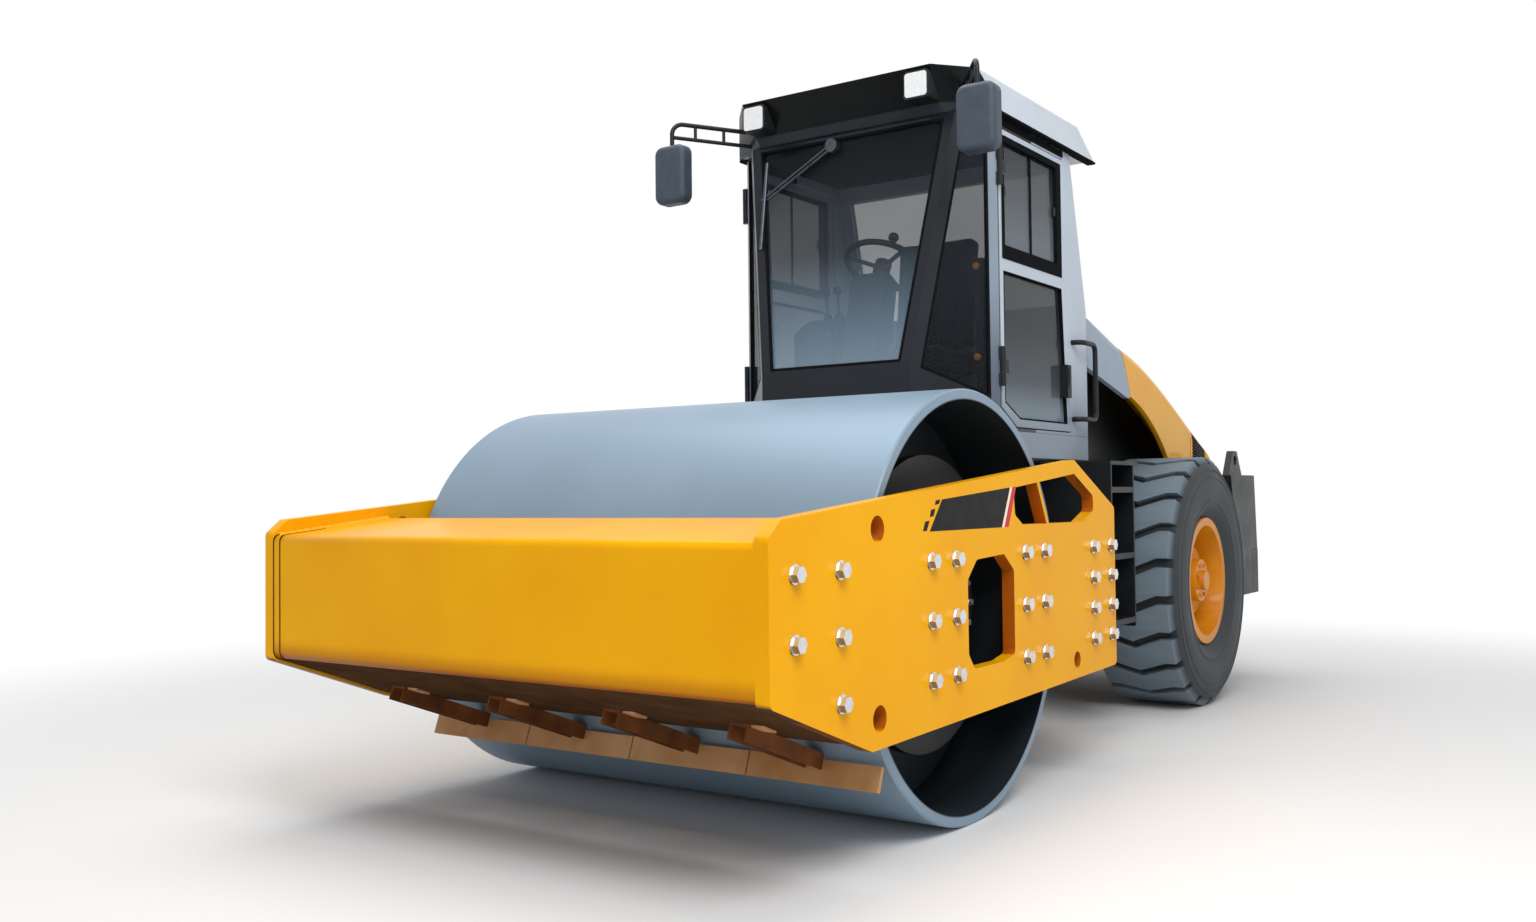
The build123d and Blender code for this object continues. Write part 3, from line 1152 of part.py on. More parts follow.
def hood_cavity(rear_top, front_top):
    """Open inside of the hood below its top, from its rear top corner to its front one."""
    foot = (AXLE_X - HOOD_REAR + HOOD_WALL, HOOD_FOOT)
    front_foot = (AXLE_X + HOOD_FRONT, HOOD_FOOT)
    return [Polyline(rear_top, foot, front_foot, front_top)]


def hood():
    """One-piece engine hood: domed top with rounded long edges, arched sides, rear wall and side vents."""
    outer = domed_slab(0, hood_sides, -HOOD_HALF_WIDTH, HOOD_HALF_WIDTH)
    outer = fillet(outer.edges().filter_by(GeomType.BSPLINE), HOOD_ROUND)
    inner_side = HOOD_HALF_WIDTH - HOOD_WALL
    shell = outer - domed_slab(HOOD_WALL, hood_cavity, -inner_side, inner_side)
    shell -= side_slab([(AXLE_X + x, z) for x, z in VENT], -HOOD_HALF_WIDTH, HOOD_HALF_WIDTH)
    return shell + hood_hinges(-1)


def hood_hinge(y_low, y_high, toward):
    """One knuckle of the hood's hinge with its leaf, towards the cowl (+1) or the hood (-1)."""
    axis_x = AXLE_X + HOOD_FRONT + SEAM / 2
    axis_z = HOOD_FRONT_TOP + HOOD_HINGE_UP
    low = HOOD_FRONT_TOP - HOOD_WALL / 2
    section = [(SEAM / 2, axis_z), (HOOD_LEAF, axis_z), (HOOD_LEAF, low), (HOOD_LEAF_TOE, low)]
    leaf = side_slab([(axis_x + toward * x, z) for x, z in section], y_low, y_high)
    return leaf + rod((axis_x, y_low, axis_z), (axis_x, y_high, axis_z), HOOD_KNUCKLE)


def hood_hinges(toward):
    """Hinge knuckles on both sides: outer ones on the cowl, inner ones on the hood."""
    knuckles = []
    for station in (-HOOD_HINGE_STATION, HOOD_HINGE_STATION):
        spans = [(-HOOD_LEAF / 2, HOOD_LEAF / 2)]
        if toward > 0:
            edge = HOOD_LEAF / 2 + 2 * RUNNING_GAP
            spans = [(-edge - HOOD_LEAF, -edge), (edge, edge + HOOD_LEAF)]
        for low, high in spans:
            knuckles.append(hood_hinge(station + low, station + high, toward))
    return knuckles


def hood_vents():
    """Louvred panels in the hood's side vents: a back plate with slats that follow the vent's taper."""
    inner_side = HOOD_HALF_WIDTH - HOOD_WALL
    front_high, front_low, back_low, back_high = [(AXLE_X + x, z) for x, z in VENT]
    left = side_slab([front_high, front_low, back_low, back_high], inner_side, inner_side + VENT_PLATE)
    for index in range(VENT_SLATS):
        share = (index + 0.5) / VENT_SLATS
        front_z = front_low[1] + share * (front_high[1] - front_low[1])
        back_z = back_low[1] + share * (back_high[1] - back_low[1])
        half = VENT_SLAT / 2
        slat = [(front_low[0], front_z - half), (front_low[0], front_z + half),
                (back_low[0], back_z + half), (back_low[0], back_z - half)]
        left += side_slab(slat, inner_side, HOOD_HALF_WIDTH - VENT_PLATE)
    return left, right_of(left)


def cowl():
    """Fixed cowl between the cab and the hood: a shell, open below, with the hood's rounded edges."""
    hinge = AXLE_X + HOOD_FRONT + SEAM
    arch = hinge - HOOD_ARCH_FRONT
    outline = [(COWL_X, COWL_FRONT_LOW), (COWL_X, COWL_FRONT_TOP), (hinge, HOOD_FRONT_TOP),
               (arch, HOOD_ARCH_HIGH), (arch + COWL_BACK_STEP, COWL_BACK_LOW)]
    outer = side_slab(outline, -HOOD_HALF_WIDTH, HOOD_HALF_WIDTH)
    top = outer.faces().sort_by(Axis.Z)[-1]
    outer = fillet(top.edges().filter_by(Axis.Y, reverse=True), HOOD_ROUND)
    ceiling = HOOD_FRONT_TOP - HOOD_WALL
    inner = [(COWL_X, BEAM_HIGH), (COWL_X, COWL_FRONT_TOP - HOOD_WALL), (hinge, ceiling),
             (AXLE_X, ceiling), (AXLE_X, BEAM_HIGH)]
    side = HOOD_HALF_WIDTH - HOOD_WALL
    return outer - side_slab(inner, -side, side) + hood_hinges(1)


def inner_walls():
    """Black inner walls that close the engine bay beside the tyres, up to the hood and the cowl."""
    hinge = AXLE_X + HOOD_FRONT + SEAM
    seat = [(COWL_X, COWL_FRONT_TOP - HOOD_WALL), (hinge, HOOD_FRONT_TOP - HOOD_WALL)]
    top = seat + hood_top(HOOD_WALL + 2 * SEAM)
    outline = [(COWL_X, BEAM_HIGH)] + top + [(top[-1][0], BEAM_HIGH)]
    left = side_slab(outline, BEAM_OUTER - INNER_WALL_PLATE, BEAM_OUTER)
    return left, right_of(left)


def engine_block():
    """Engine, as one plain mass between the beams."""
    rear = AXLE_X - ENGINE_BACK
    front = AXLE_X + ENGINE_AHEAD
    return block(rear, front, -BEAM_INNER, BEAM_INNER, TYRE_RADIUS + DIFF_RADIUS + SEAM, ENGINE_HIGH)


def tail_lamp():
    """Left square lamp on the tower's rear face."""
    rear = AXLE_X - TOWER_TOP_BACK
    half = TAIL_LAMP_WIDTH / 2
    housing = block(rear - TAIL_LAMP_OUT, rear + TAIL_LAMP_OUT, TAIL_LAMP_SIDE - half, TAIL_LAMP_SIDE + half,
                    TAIL_LAMP_LOW, TAIL_LAMP_HIGH)
    return fillet(housing.edges().filter_by(Axis.X), TAIL_LAMP_CORNER)


plate_left = side_plate()
save("side_plate_left", plate_left)
save("side_plate_right", right_of(plate_left))
save("front_beam", front_beam())
save("rear_crossmember", rear_crossmember())
mount_left = drum_mount()
save("drum_mount_left", mount_left)
save("drum_mount_right", right_of(mount_left))
save("scraper_brackets", *scraper_brackets())
save("scraper_blade", *scraper_blade())
save("drum", drum())
save("centre_joint", centre_joint())

barrel_left = cylinder_barrel()
save("steering_barrel_left", barrel_left)
save("steering_barrel_right", right_of(barrel_left))
rod_left = cylinder_rod()
save("steering_rod_left", rod_left)
save("steering_rod_right", right_of(rod_left))

save("rear_frame", rear_frame())
save("rear_axle", rear_axle())
rim_left = rim()
save("rim_left", rim_left)
save("rim_right", right_of(rim_left))
tyre_left = tyre()
save("tyre_left", tyre_left)
save("tyre_right", right_of(tyre_left))
save("engine_block", engine_block())
weight = counterweight()
save("counterweight", weight)
tower_left = tail_tower(weight)
save("tail_tower_left", tower_left)
save("tail_tower_right", right_of(tower_left))
lamp_left = tail_lamp() - tower_left
save("tail_lamps", lamp_left, right_of(lamp_left))
save("rear_grille", rear_grille())
save("inner_walls", *inner_walls())
save("cowl", cowl())
save("hood", hood())
save("hood_vents", *hood_vents())
ladder_left = ladder()
save("ladder_left", ladder_left)
save("ladder_right", right_of(ladder_left))

walls = cab_walls()
split = CAB_X - (DOOR_FRONT + DOOR_REAR_HIGH) / 2
front_half = block(split, CAB_X + CAB_WALL, -CAB_HALF_WIDTH, CAB_HALF_WIDTH, CAB_FLOOR_HIGH, CAB_TOP)
front_walls = walls & front_half
for level in HINGE_LEVELS:
    for low in (level - HINGE_HEIGHT - RUNNING_GAP, level + HINGE_HEIGHT + RUNNING_GAP):
        leaf = hinge_leaf(low, low + HINGE_HEIGHT, 1) - walls
        front_walls += leaf
        front_walls += right_of(leaf)
save("cab_floor", cab_floor())
save("cab_front_frame", front_walls)
save("cab_rear_frame", walls - front_half)
roof = roof_form()
roof_behind = Pos(-FASCIA, 0, 0) * roof
save("cab_roof", roof & roof_behind)
save("roof_fascia", roof - roof_behind)
save("windscreen", screen_glass())
corner_left = corner_opening(GLASS_INSET + GLASS, -GLASS_INSET)
save("corner_glass", corner_left, right_of(corner_left))
save("rear_window", rear_glass())
door_left = door()
save("door_left", door_left)
save("door_right", right_of(door_left))
pane_left = door_glass(door_left)
save("door_glass_left", pane_left)
save("door_glass_right", right_of(pane_left))
save("seat_base", seat_base())
save("seat_cushion", seat_cushion())
save("seat_back", seat_back())
save("steering_column", steering_column())
save("console", console())
save("head_lamps", *head_lamps(roof))
arm_left = mirror_arm(roof)
save("mirror_arms", arm_left, right_of(arm_left))
head_left = mirror_head(arm_left)
save("mirrors", head_left, right_of(head_left))
save("wiper", wiper())
handle_left = grab_handle()
save("grab_handles", handle_left, right_of(handle_left))
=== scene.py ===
from math import cos, pi, radians, sin, tau

import bmesh
import bpy
from mathutils import Matrix, Vector


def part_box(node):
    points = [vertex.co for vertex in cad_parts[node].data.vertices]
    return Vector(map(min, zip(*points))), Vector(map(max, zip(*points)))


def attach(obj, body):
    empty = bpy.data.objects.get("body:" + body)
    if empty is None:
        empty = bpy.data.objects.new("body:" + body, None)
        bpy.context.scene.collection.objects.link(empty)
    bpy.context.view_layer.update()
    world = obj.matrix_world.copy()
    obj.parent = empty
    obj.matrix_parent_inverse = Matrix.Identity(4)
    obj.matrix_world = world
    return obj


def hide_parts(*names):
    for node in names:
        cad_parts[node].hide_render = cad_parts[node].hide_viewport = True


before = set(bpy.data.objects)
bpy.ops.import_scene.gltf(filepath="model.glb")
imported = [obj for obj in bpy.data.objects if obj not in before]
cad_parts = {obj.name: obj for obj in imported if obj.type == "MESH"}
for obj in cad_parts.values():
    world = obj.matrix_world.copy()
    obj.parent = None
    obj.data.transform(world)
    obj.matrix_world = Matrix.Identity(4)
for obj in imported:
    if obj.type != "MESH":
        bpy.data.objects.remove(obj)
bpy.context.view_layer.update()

# The side plates are 50 mm steel plate, flame cut, with a window over the rear of the drum and one at its axle.
# They are shot blasted and coated with a thick yellow enamel that keeps a soft gloss and a faint orange peel.
PLATE_FRONT = 2.800  # m ahead of the machine's middle, where the open edges begin behind the beam
DRIFT = (0.32, 0.68)  # the part of a noise's range in which a finish drifts


def linear(code):
    """An sRGB hex colour as linear RGBA."""
    parts = [int(code[place:place + 2], 16) / 255 for place in (1, 3, 5)]
    return tuple(c / 12.92 if c <= 0.04045 else ((c + 0.055) / 1.055) ** 2.4 for c in parts) + (1.0,)


def add_node(tree, kind, settings=None, inputs=None, links=None):
    """Add one node with its settings, socket values and incoming links."""
    node = tree.nodes.new(kind)
    for key, value in (settings or {}).items():
        setattr(node, key, value)
    for key, value in (inputs or {}).items():
        node.inputs[key].default_value = value
    for key, source in (links or {}).items():
        tree.links.new(source, node.inputs[key])
    return node


def begin_material(name):
    """A new material with its tree and its shader."""
    material = bpy.data.materials.new(name)
    material.use_nodes = True
    return material, material.node_tree, material.node_tree.nodes["Principled BSDF"]


def finish(name, shades, roughness, patch_mm, grain_mm, relief_mm, metallic=0.0, gloss=0.25, **sockets):
    """A finish whose two shades and two roughnesses drift in soft patches, over a relief of fine grains."""
    material, tree, shader = begin_material(name)
    shader.inputs["Metallic"].default_value = metallic
    shader.inputs["Specular IOR Level"].default_value = gloss
    for key, value in sockets.items():
        shader.inputs[key.replace("_", " ")].default_value = value
    place = add_node(tree, "ShaderNodeTexCoord").outputs["Object"]
    patch, grain = [
        add_node(tree, "ShaderNodeTexNoise", None, {"Scale": 1000.0 / size, "Detail": detail}, {"Vector": place})
        for size, detail in ((patch_mm, 4.0), (grain_mm, 2.0))]
    blend = add_node(tree, "ShaderNodeValToRGB", links={"Fac": patch.outputs["Fac"]})
    for stop, position, shade in zip(blend.color_ramp.elements, DRIFT, shades):
        stop.position = position
        stop.color = linear(shade)
    tree.links.new(blend.outputs["Color"], shader.inputs["Base Color"])
    span = {"From Min": DRIFT[0], "From Max": DRIFT[1], "To Min": roughness[0], "To Max": roughness[1]}
    sheen = add_node(tree, "ShaderNodeMapRange", None, span, {"Value": patch.outputs["Fac"]})
    tree.links.new(sheen.outputs["Result"], shader.inputs["Roughness"])
    bump = add_node(tree, "ShaderNodeBump", None, {"Strength": 0.5, "Distance": relief_mm / 1000.0},
                    {"Height": grain.outputs["Fac"]})
    tree.links.new(bump.outputs["Normal"], shader.inputs["Normal"])
    return material


def soften(piece, edge_mm):
    """Round a piece's edges a little, as bending, casting or handling leaves them."""
    edge = piece.modifiers.new("edge", "BEVEL")
    edge.width = edge_mm / 1000.0
    edge.segments = 2
    edge.limit_method = "ANGLE"
    edge.angle_limit = radians(35)
    edge.harden_normals = True


def coat(material, *names, edge_mm=0.0):
    """Give frame nodes a finish, and round edges where a size is given."""
    for name in names:
        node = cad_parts[name]
        for place in node.material_slots:
            place.material = material
        if edge_mm:
            weld = node.modifiers.new("weld", "WELD")
            weld.merge_threshold = 0.00002
            soften(node, edge_mm)


def shaded_where(material, factor, shade):
    """Blend a finish towards another shade by a factor socket of its own tree."""
    tree = material.node_tree
    colour = tree.nodes["Principled BSDF"].inputs["Base Color"]
    mixed = add_node(tree, "ShaderNodeMix", {"data_type": "RGBA"}, {7: linear(shade)},
                     {0: factor, 6: colour.links[0].from_socket})
    tree.links.new(mixed.outputs[2], colour)


def graded(material, reading, axis, start, end, share=1.0):
    """A factor from none to a share as one component of the place or the normal goes from start to end."""
    tree = material.node_tree
    split = add_node(tree, "ShaderNodeSeparateXYZ",
                     links={"Vector": add_node(tree, "ShaderNodeTexCoord").outputs[reading]})
    return add_node(tree, "ShaderNodeMapRange", {"interpolation_type": "SMOOTHSTEP"},
                    {"From Min": start, "From Max": end, "To Max": share},
                    {"Value": split.outputs[axis]}).outputs["Result"]


# Thick two-pack enamel: a warm yellow that drifts a little where it was sprayed thicker, with an orange peel.
# The faces that look down are darkened to brown: partly road dirt, partly painted shade.
yellow_enamel = finish("yellow_two_pack_enamel", ("#F4AA00", "#F9B403"), (0.3, 0.38), patch_mm=420.0,
                       grain_mm=7.0, relief_mm=0.04, gloss=0.05, Coat_Weight=0.1, Coat_Roughness=0.06)
shaded_where(yellow_enamel, graded(yellow_enamel, "Normal", "Z", -0.15, -0.85), "#4A2E17")
# On the plates' cut edges that look forwards, in the windows and holes, a painted orange-brown shade darkens the
# enamel.
plate_enamel = yellow_enamel.copy()
plate_enamel.name = "yellow_enamel_painted_edge_shade"
edge_shade_mask = add_node(plate_enamel.node_tree, "ShaderNodeMath", {"operation": "MULTIPLY"}, None, {
    0: graded(plate_enamel, "Normal", "X", 0.25, 0.6),
    1: graded(plate_enamel, "Object", "X", PLATE_FRONT, PLATE_FRONT - 0.01)})
shaded_where(plate_enamel, edge_shade_mask.outputs[0], "#B45A12")
coat(plate_enamel, "side_plate_left", "side_plate_right", edge_mm=4.0)


# The bands on the plates are cut vinyl film: a black slanted field with three checks ahead of it and a white and
# a red slash behind it. The film is flat and a little less glossy than the enamel.
DRUM_AXLE = (1.532, 0.800)  # m ahead of the machine's middle, m up
PLATE_FACE = 1.150  # m from the centre line to the plate's outer face
FILM = 0.0008
# The film's outlines are in mm ahead of the drum's axle and mm up.
BAND_FIELD = [(389, 1192), (-165, 1233), (-89, 1085), (482, 1085)]
BAND_CHECKS = [
    [(435, 1189), (404, 1192), (413, 1177), (443, 1174)],
    [(470, 1158), (441, 1161), (452, 1137), (481, 1133)],
    [(513, 1119), (483, 1121), (504, 1088), (531, 1087)],
]
BAND_WHITE = [(-169, 1233), (-186, 1235), (-110, 1085), (-92, 1085)]
BAND_RED = [(-190, 1235), (-222, 1237), (-149, 1085), (-112, 1085)]


def loops(shape, outline, shift):
    """Vertices at an outline's points, and at the same points moved by a vector."""
    return [[shape.verts.new(Vector(point) + Vector(move)) for point in outline] for move in ((0, 0, 0), shift)]


def wall(shape, low, high):
    """Faces between two closed loops of vertices."""
    for index in range(len(low)):
        shape.faces.new((low[index - 1], low[index], high[index], high[index - 1]))


def prism(shape, outline, shift):
    """Add a closed prism: a flat outline of points, moved by a vector."""
    low, high = loops(shape, outline, shift)
    shape.faces.new(low)
    shape.faces.new(high)
    wall(shape, low, high)


def closed_mesh(shape, name):
    """The shape as a mesh with its doubles merged and its faces outwards."""
    bmesh.ops.remove_doubles(shape, verts=shape.verts, dist=1e-6)
    bmesh.ops.recalc_face_normals(shape, faces=shape.faces)
    mesh = bpy.data.meshes.new(name)
    shape.to_mesh(mesh)
    shape.free()
    return mesh


def linked(name, data):
    """A new object in the scene, at the origin."""
    piece = bpy.data.objects.new(name, data)
    bpy.context.scene.collection.objects.link(piece)
    return piece


def fitted(name, shape, material, body, edge_mm=0.0):
    """A finished piece with its material, riding on a body."""
    mesh = closed_mesh(shape, name)
    mesh.materials.append(material)
    piece = linked(name, mesh)
    if edge_mm:
        soften(piece, edge_mm)
    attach(piece, body)


def on_side(corners, face, side):
    """Corners (m ahead, m up) on the upright plane at a distance from the centre line, on one side."""
    return [Vector((x, side * face, z)) for x, z in corners]


def plate_film(name, outlines, material):
    """Film cut to outlines on both side plates."""
    shape = bmesh.new()
    for side in (-1, 1):
        for outline in outlines:
            corners = [(DRUM_AXLE[0] + x / 1000, z / 1000) for x, z in outline]
            prism(shape, on_side(corners, PLATE_FACE, side), (0, side * FILM, 0))
    fitted(name, shape, material, "front_frame")


# Cast vinyl: an even colour with the fine skin that a squeegee leaves.
black_film = finish("black_vinyl_film", ("#101114", "#141518"), (0.4, 0.5), 60.0, 3.0, 0.02, gloss=0.1)
white_film = finish("white_vinyl_film", ("#F1EFE9", "#F5F4EF"), (0.34, 0.44), 60.0, 3.0, 0.02)
red_film = finish("red_vinyl_film", ("#CC141A", "#D2191E"), (0.34, 0.44), 60.0, 3.0, 0.02)
plate_film("plate_band_black", [BAND_FIELD] + BAND_CHECKS, black_film)
plate_film("plate_band_white", [BAND_WHITE], white_film)
plate_film("plate_band_red", [BAND_RED], red_film)


# The plates are bolted to the beams and the drum mounts with large hexagon bolts on hardened washers.
# They are zinc plated: a bright, slightly milky metal with no paint on it.
BOLT_COLUMNS = [  # mm ahead of the drum's axle, and the rows in mm up
    (1309, (985, 785)), (1061, (985, 785, 585)), (476, (985, 785, 585)), (295, (985, 785, 585)),
    (-295, (985, 785, 585)), (-476, (985, 785, 585)),
    (-1000, (981, 851, 721, 591)), (-1210, (981, 851, 721, 591)),
]
BOLT_SIZES = ("Head Radius", "Head Height", "Washer Radius", "Washer Height")


def repeat_tree(name, sizes):
    """An empty node tree with named size inputs and a finish, and what its inputs give."""
    tree = bpy.data.node_groups.new(name, "GeometryNodeTree")
    tree.interface.new_socket("Geometry", in_out="INPUT", socket_type="NodeSocketGeometry")
    for label in sizes:
        tree.interface.new_socket(label, in_out="INPUT", socket_type="NodeSocketFloat")
    tree.interface.new_socket("Finish", in_out="INPUT", socket_type="NodeSocketMaterial")
    tree.interface.new_socket("Geometry", in_out="OUTPUT", socket_type="NodeSocketGeometry")
    return tree, add_node(tree, "NodeGroupInput").outputs


def set_on_points(tree, given, shape, axis):
    """End a tree: the shape on each point, one of its axes along the point's own, made real and finished."""
    along = add_node(tree, "GeometryNodeInputNamedAttribute", {"data_type": "FLOAT_VECTOR"}, {"Name": "axis"})
    turn = add_node(tree, "FunctionNodeAlignRotationToVector", {"axis": axis}, None,
                    {"Vector": along.outputs["Attribute"]})
    placed = add_node(tree, "GeometryNodeInstanceOnPoints", None, None,
                      {"Points": given["Geometry"], "Instance": shape, "Rotation": turn.outputs[0]})
    real = add_node(tree, "GeometryNodeRealizeInstances", links={"Geometry": placed.outputs[0]})
    coated = add_node(tree, "GeometryNodeSetMaterial", None, None,
                      {"Geometry": real.outputs[0], "Material": given["Finish"]})
    add_node(tree, "NodeGroupOutput", links={"Geometry": coated.outputs[0]})


def bolt_tree():
    """A hexagon head on a washer at each point, along the point's axis."""
    tree, given = repeat_tree("hexagon_bolts", BOLT_SIZES)
    whole = add_node(tree, "GeometryNodeJoinGeometry")
    for part, sides, below in (("Head", 6, {2: given["Washer Height"]}), ("Washer", 20, {})):
        disc = add_node(tree, "GeometryNodeMeshCylinder", None, {"Vertices": sides},
                        {"Radius": given[part + " Radius"], "Depth": given[part + " Height"]})
        middle = add_node(tree, "ShaderNodeMath", {"operation": "MULTIPLY_ADD"}, {1: 0.5, 2: 0.0},
                          {0: given[part + " Height"], **below})
        place = add_node(tree, "ShaderNodeCombineXYZ", links={"Z": middle.outputs[0]})
        raised = add_node(tree, "GeometryNodeTransform", None, None,
                          {"Geometry": disc.outputs["Mesh"], "Translation": place.outputs[0]})
        tree.links.new(raised.outputs[0], whole.inputs[0])
    set_on_points(tree, given, whole.outputs[0], "Z")
    return tree


def settle(piece):
    """Put what a piece's modifiers make of it in place of its mesh, and take them off."""
    graph = bpy.context.evaluated_depsgraph_get()
    result = bpy.data.meshes.new_from_object(piece.evaluated_get(graph))
    piece.modifiers.clear()
    piece.data = result


def repeated(name, points, axes, tree, sizes, body):
    """Points run through a node tree into one plain mesh that rides on a body."""
    mesh = bpy.data.meshes.new(name)
    mesh.from_pydata(points, [], [])
    along = mesh.attributes.new("axis", "FLOAT_VECTOR", "POINT")
    along.data.foreach_set("vector", [part for axis in axes for part in axis])
    holder = linked(name, mesh)
    modifier = holder.modifiers.new("repeat", "NODES")
    modifier.node_group = tree
    for item in tree.interface.items_tree:
        if item.in_out == "INPUT" and item.name in sizes:
            modifier[item.identifier] = sizes[item.name]
    settle(holder)
    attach(holder, body)


hexagon_bolts = bolt_tree()


def bolted(name, points, sizes_mm, material, body):
    """Bolts at points, looking away from the centre line."""
    axes = [(0, 1 if point[1] > 0 else -1, 0) for point in points]
    sizes = {label: size / 1000 for label, size in zip(BOLT_SIZES, sizes_mm)}
    repeated(name, points, axes, hexagon_bolts, {**sizes, "Finish": material}, body)


# Bright zinc: a milky metal, a little blotched by its passivation, with a painted brown shade on the faces that
# look down.
zinc_plate = finish("zinc_plated_steel", ("#D3D6D8", "#E2E4E5"), (0.24, 0.36), 25.0, 2.0, 0.02, metallic=0.85)
shaded_where(zinc_plate, graded(zinc_plate, "Normal", "Z", -0.2, -0.7), "#5E3C22")
bolt_points = [(DRUM_AXLE[0] + x / 1000, side * PLATE_FACE, z / 1000)
               for side in (-1, 1) for x, rows in BOLT_COLUMNS for z in rows]
bolted("plate_bolts", bolt_points, (26, 22, 30, 5), zinc_plate, "front_frame")


# The front beam and the rear crossmember are welded boxes of bent plate in the same yellow enamel. A fillet weld
# runs along the top of the beam where it meets each side plate. At the right end dark sealant closes the joints
# of the plate and its doubler round the nose; at the left end they are filled and painted over.
PLATE_INSIDE = 1.100  # m from the centre line to the plate's inner face
BEAM_FRONT = 2.968
BEAM_BACK = 2.437
BEAM_TOP = (1.083, 1.139)  # m up, at the front and at the back
BEAM_FOOT = (0.632, 0.432)
BEAM_BEND = 0.024
BEND_STEPS = 6
WELD = 0.010
WELD_STEPS = 40
NOSE_REACH = 0.200  # m back from the front that the sealant runs
SEAMS = ((1.058, 1.0625), (1.096, 1.1005))  # m from the centre line
SEAM_HEIGHT, SEAM_DEPTH = 0.0018, 0.003  # m out of the plate and into it
SOIL_AND_SHADE_DEPTH = 0.001
# The beam's enamel darkens to a burnt orange at the lower bend: a painted shade where the nose turns under.
beam_enamel = yellow_enamel.copy()
beam_enamel.name = "yellow_enamel_painted_bend_shade"
shaded_where(beam_enamel, graded(beam_enamel, "Object", "Z", 0.705, 0.635, 0.7), "#A85C08")
coat(beam_enamel, "front_beam", edge_mm=5.0)
coat(yellow_enamel, "rear_crossmember")
weld_beads = bmesh.new()
for side in (-1, 1):
    start, end = on_side(zip((BEAM_FRONT - BEAM_BEND, BEAM_BACK), BEAM_TOP), PLATE_INSIDE, side)
    inward, upward = Vector((0, -side * WELD, 0)), Vector((0, 0, WELD))
    for step in range(WELD_STEPS):
        foot = start.lerp(end, step / WELD_STEPS)
        swell = 1.0 + 0.18 * sin(step * 2.4)
        prism(weld_beads, [foot, foot + inward * swell, foot + upward * swell], (end - start) / WELD_STEPS)
fitted("beam_welds", weld_beads, yellow_enamel, "front_frame")


def nose_line(lift):
    """Points (ahead, up) round the beam's nose from its top to its foot, lifted off its plate."""
    front, back = BEAM_FRONT + lift, BEAM_FRONT - NOSE_REACH
    share = NOSE_REACH / (BEAM_FRONT - BEAM_BACK)
    top, top_back = BEAM_TOP[0] + lift, BEAM_TOP[0] + share * (BEAM_TOP[1] - BEAM_TOP[0]) + lift
    foot, foot_back = BEAM_FOOT[0] - lift, BEAM_FOOT[0] + share * (BEAM_FOOT[1] - BEAM_FOOT[0]) - lift
    corners = on_side([(back, top_back), (front, top), (front, foot), (back, foot_back)], 0.0, 1)
    points = [corners[0]]
    for before, corner, after in zip(corners, corners[1:], corners[2:]):
        start, end = [corner + (way - corner).normalized() * BEAM_BEND for way in (before, after)]
        for turn in [step / BEND_STEPS for step in range(BEND_STEPS + 1)]:
            points.append(start.lerp(corner, turn).lerp(corner.lerp(end, turn), turn))
    return points + [corners[3]]


# Aged sealant: a dark brown, matt bead full of dust.
sealant = finish("aged_joint_sealant", ("#3A2310", "#4A2E16"), (0.7, 0.85), 60.0, 4.0, 0.05, gloss=0.05)
seams = bmesh.new()
for low, high in SEAMS:
    outline = nose_line(SEAM_HEIGHT) + nose_line(-SEAM_DEPTH)[::-1]
    prism(seams, [point - Vector((0, low, 0)) for point in outline], (0, low - high, 0))
fitted("beam_seams", seams, sealant, "front_frame")
# A dull grey-brown sheet of coarse grains under the beam: partly dried soil, partly a painted shade.
soil_and_shade_finish = finish("soil_and_painted_shade_sheet", ("#44301F", "#553C29"), (0.9, 1.0), 140.0, 12.0, 0.3, gloss=0.0)
UNDER_SLOPE = Vector((BEAM_FRONT - BEAM_BACK, 0, BEAM_FOOT[0] - BEAM_FOOT[1])).normalized()
soil_and_shade_sheet = bmesh.new()
nose = Vector((BEAM_FRONT, 0, BEAM_FOOT[0])) - UNDER_SLOPE * 0.018
tail = Vector((BEAM_BACK, 0, BEAM_FOOT[1])) + UNDER_SLOPE * 0.002
half = Vector((0, PLATE_INSIDE - 0.001, 0))
prism(soil_and_shade_sheet, [nose - half, nose + half, tail + half, tail - half],
      Vector((UNDER_SLOPE.z, 0, -UNDER_SLOPE.x)) * SOIL_AND_SHADE_DEPTH)
fitted("beam_soil_and_painted_shade", soil_and_shade_sheet, soil_and_shade_finish, "front_frame")


# The drum mounts are black castings that hang between the plates and carry the drum's bearings. Each one's
# drive motor shows through the axle window: a round housing with a ring of bolts.
MOTOR_FACE = 0.995  # m from the centre line to the motor's end
MOTOR_RING = 0.125
MOTOR_BOLTS = 10
# Sprayed black over castings and plate: satin, with the grit of the casting under it.
black_enamel = finish("black_satin_enamel", ("#15181B", "#1B1F23"), (0.36, 0.48), 180.0, 5.0, 0.06)
coat(black_enamel, "drum_mount_left", "drum_mount_right")


def bolt_circle(axle, face, radius, count, start=0.0):
    """Points spaced evenly round an axle (m ahead, m up), on a face across it."""
    turns = [tau * (index + start) / count for index in range(count)]
    return [(axle[0] + radius * cos(turn), face, axle[1] + radius * sin(turn)) for turn in turns]


motor_points = [point for face in (-MOTOR_FACE, MOTOR_FACE)
                for point in bolt_circle(DRUM_AXLE, face, MOTOR_RING, MOTOR_BOLTS)]
bolted("motor_bolts", motor_points, (12, 11, 14, 2), zinc_plate, "front_frame")


# The scraper channels and blades are bare mild steel that has rusted to an even orange brown. Each channel has
# a small tab beside its front end that bolts up to the beam.
CHANNEL_STATIONS = (-0.800, -0.275, 0.275, 0.800)
CHANNEL_FRONT = (2.632, 0.5054)  # m, where the channels' tops end
TAB_WIDTH, TAB_LENGTH, TAB_PLATE = 0.052, 0.070, 0.008
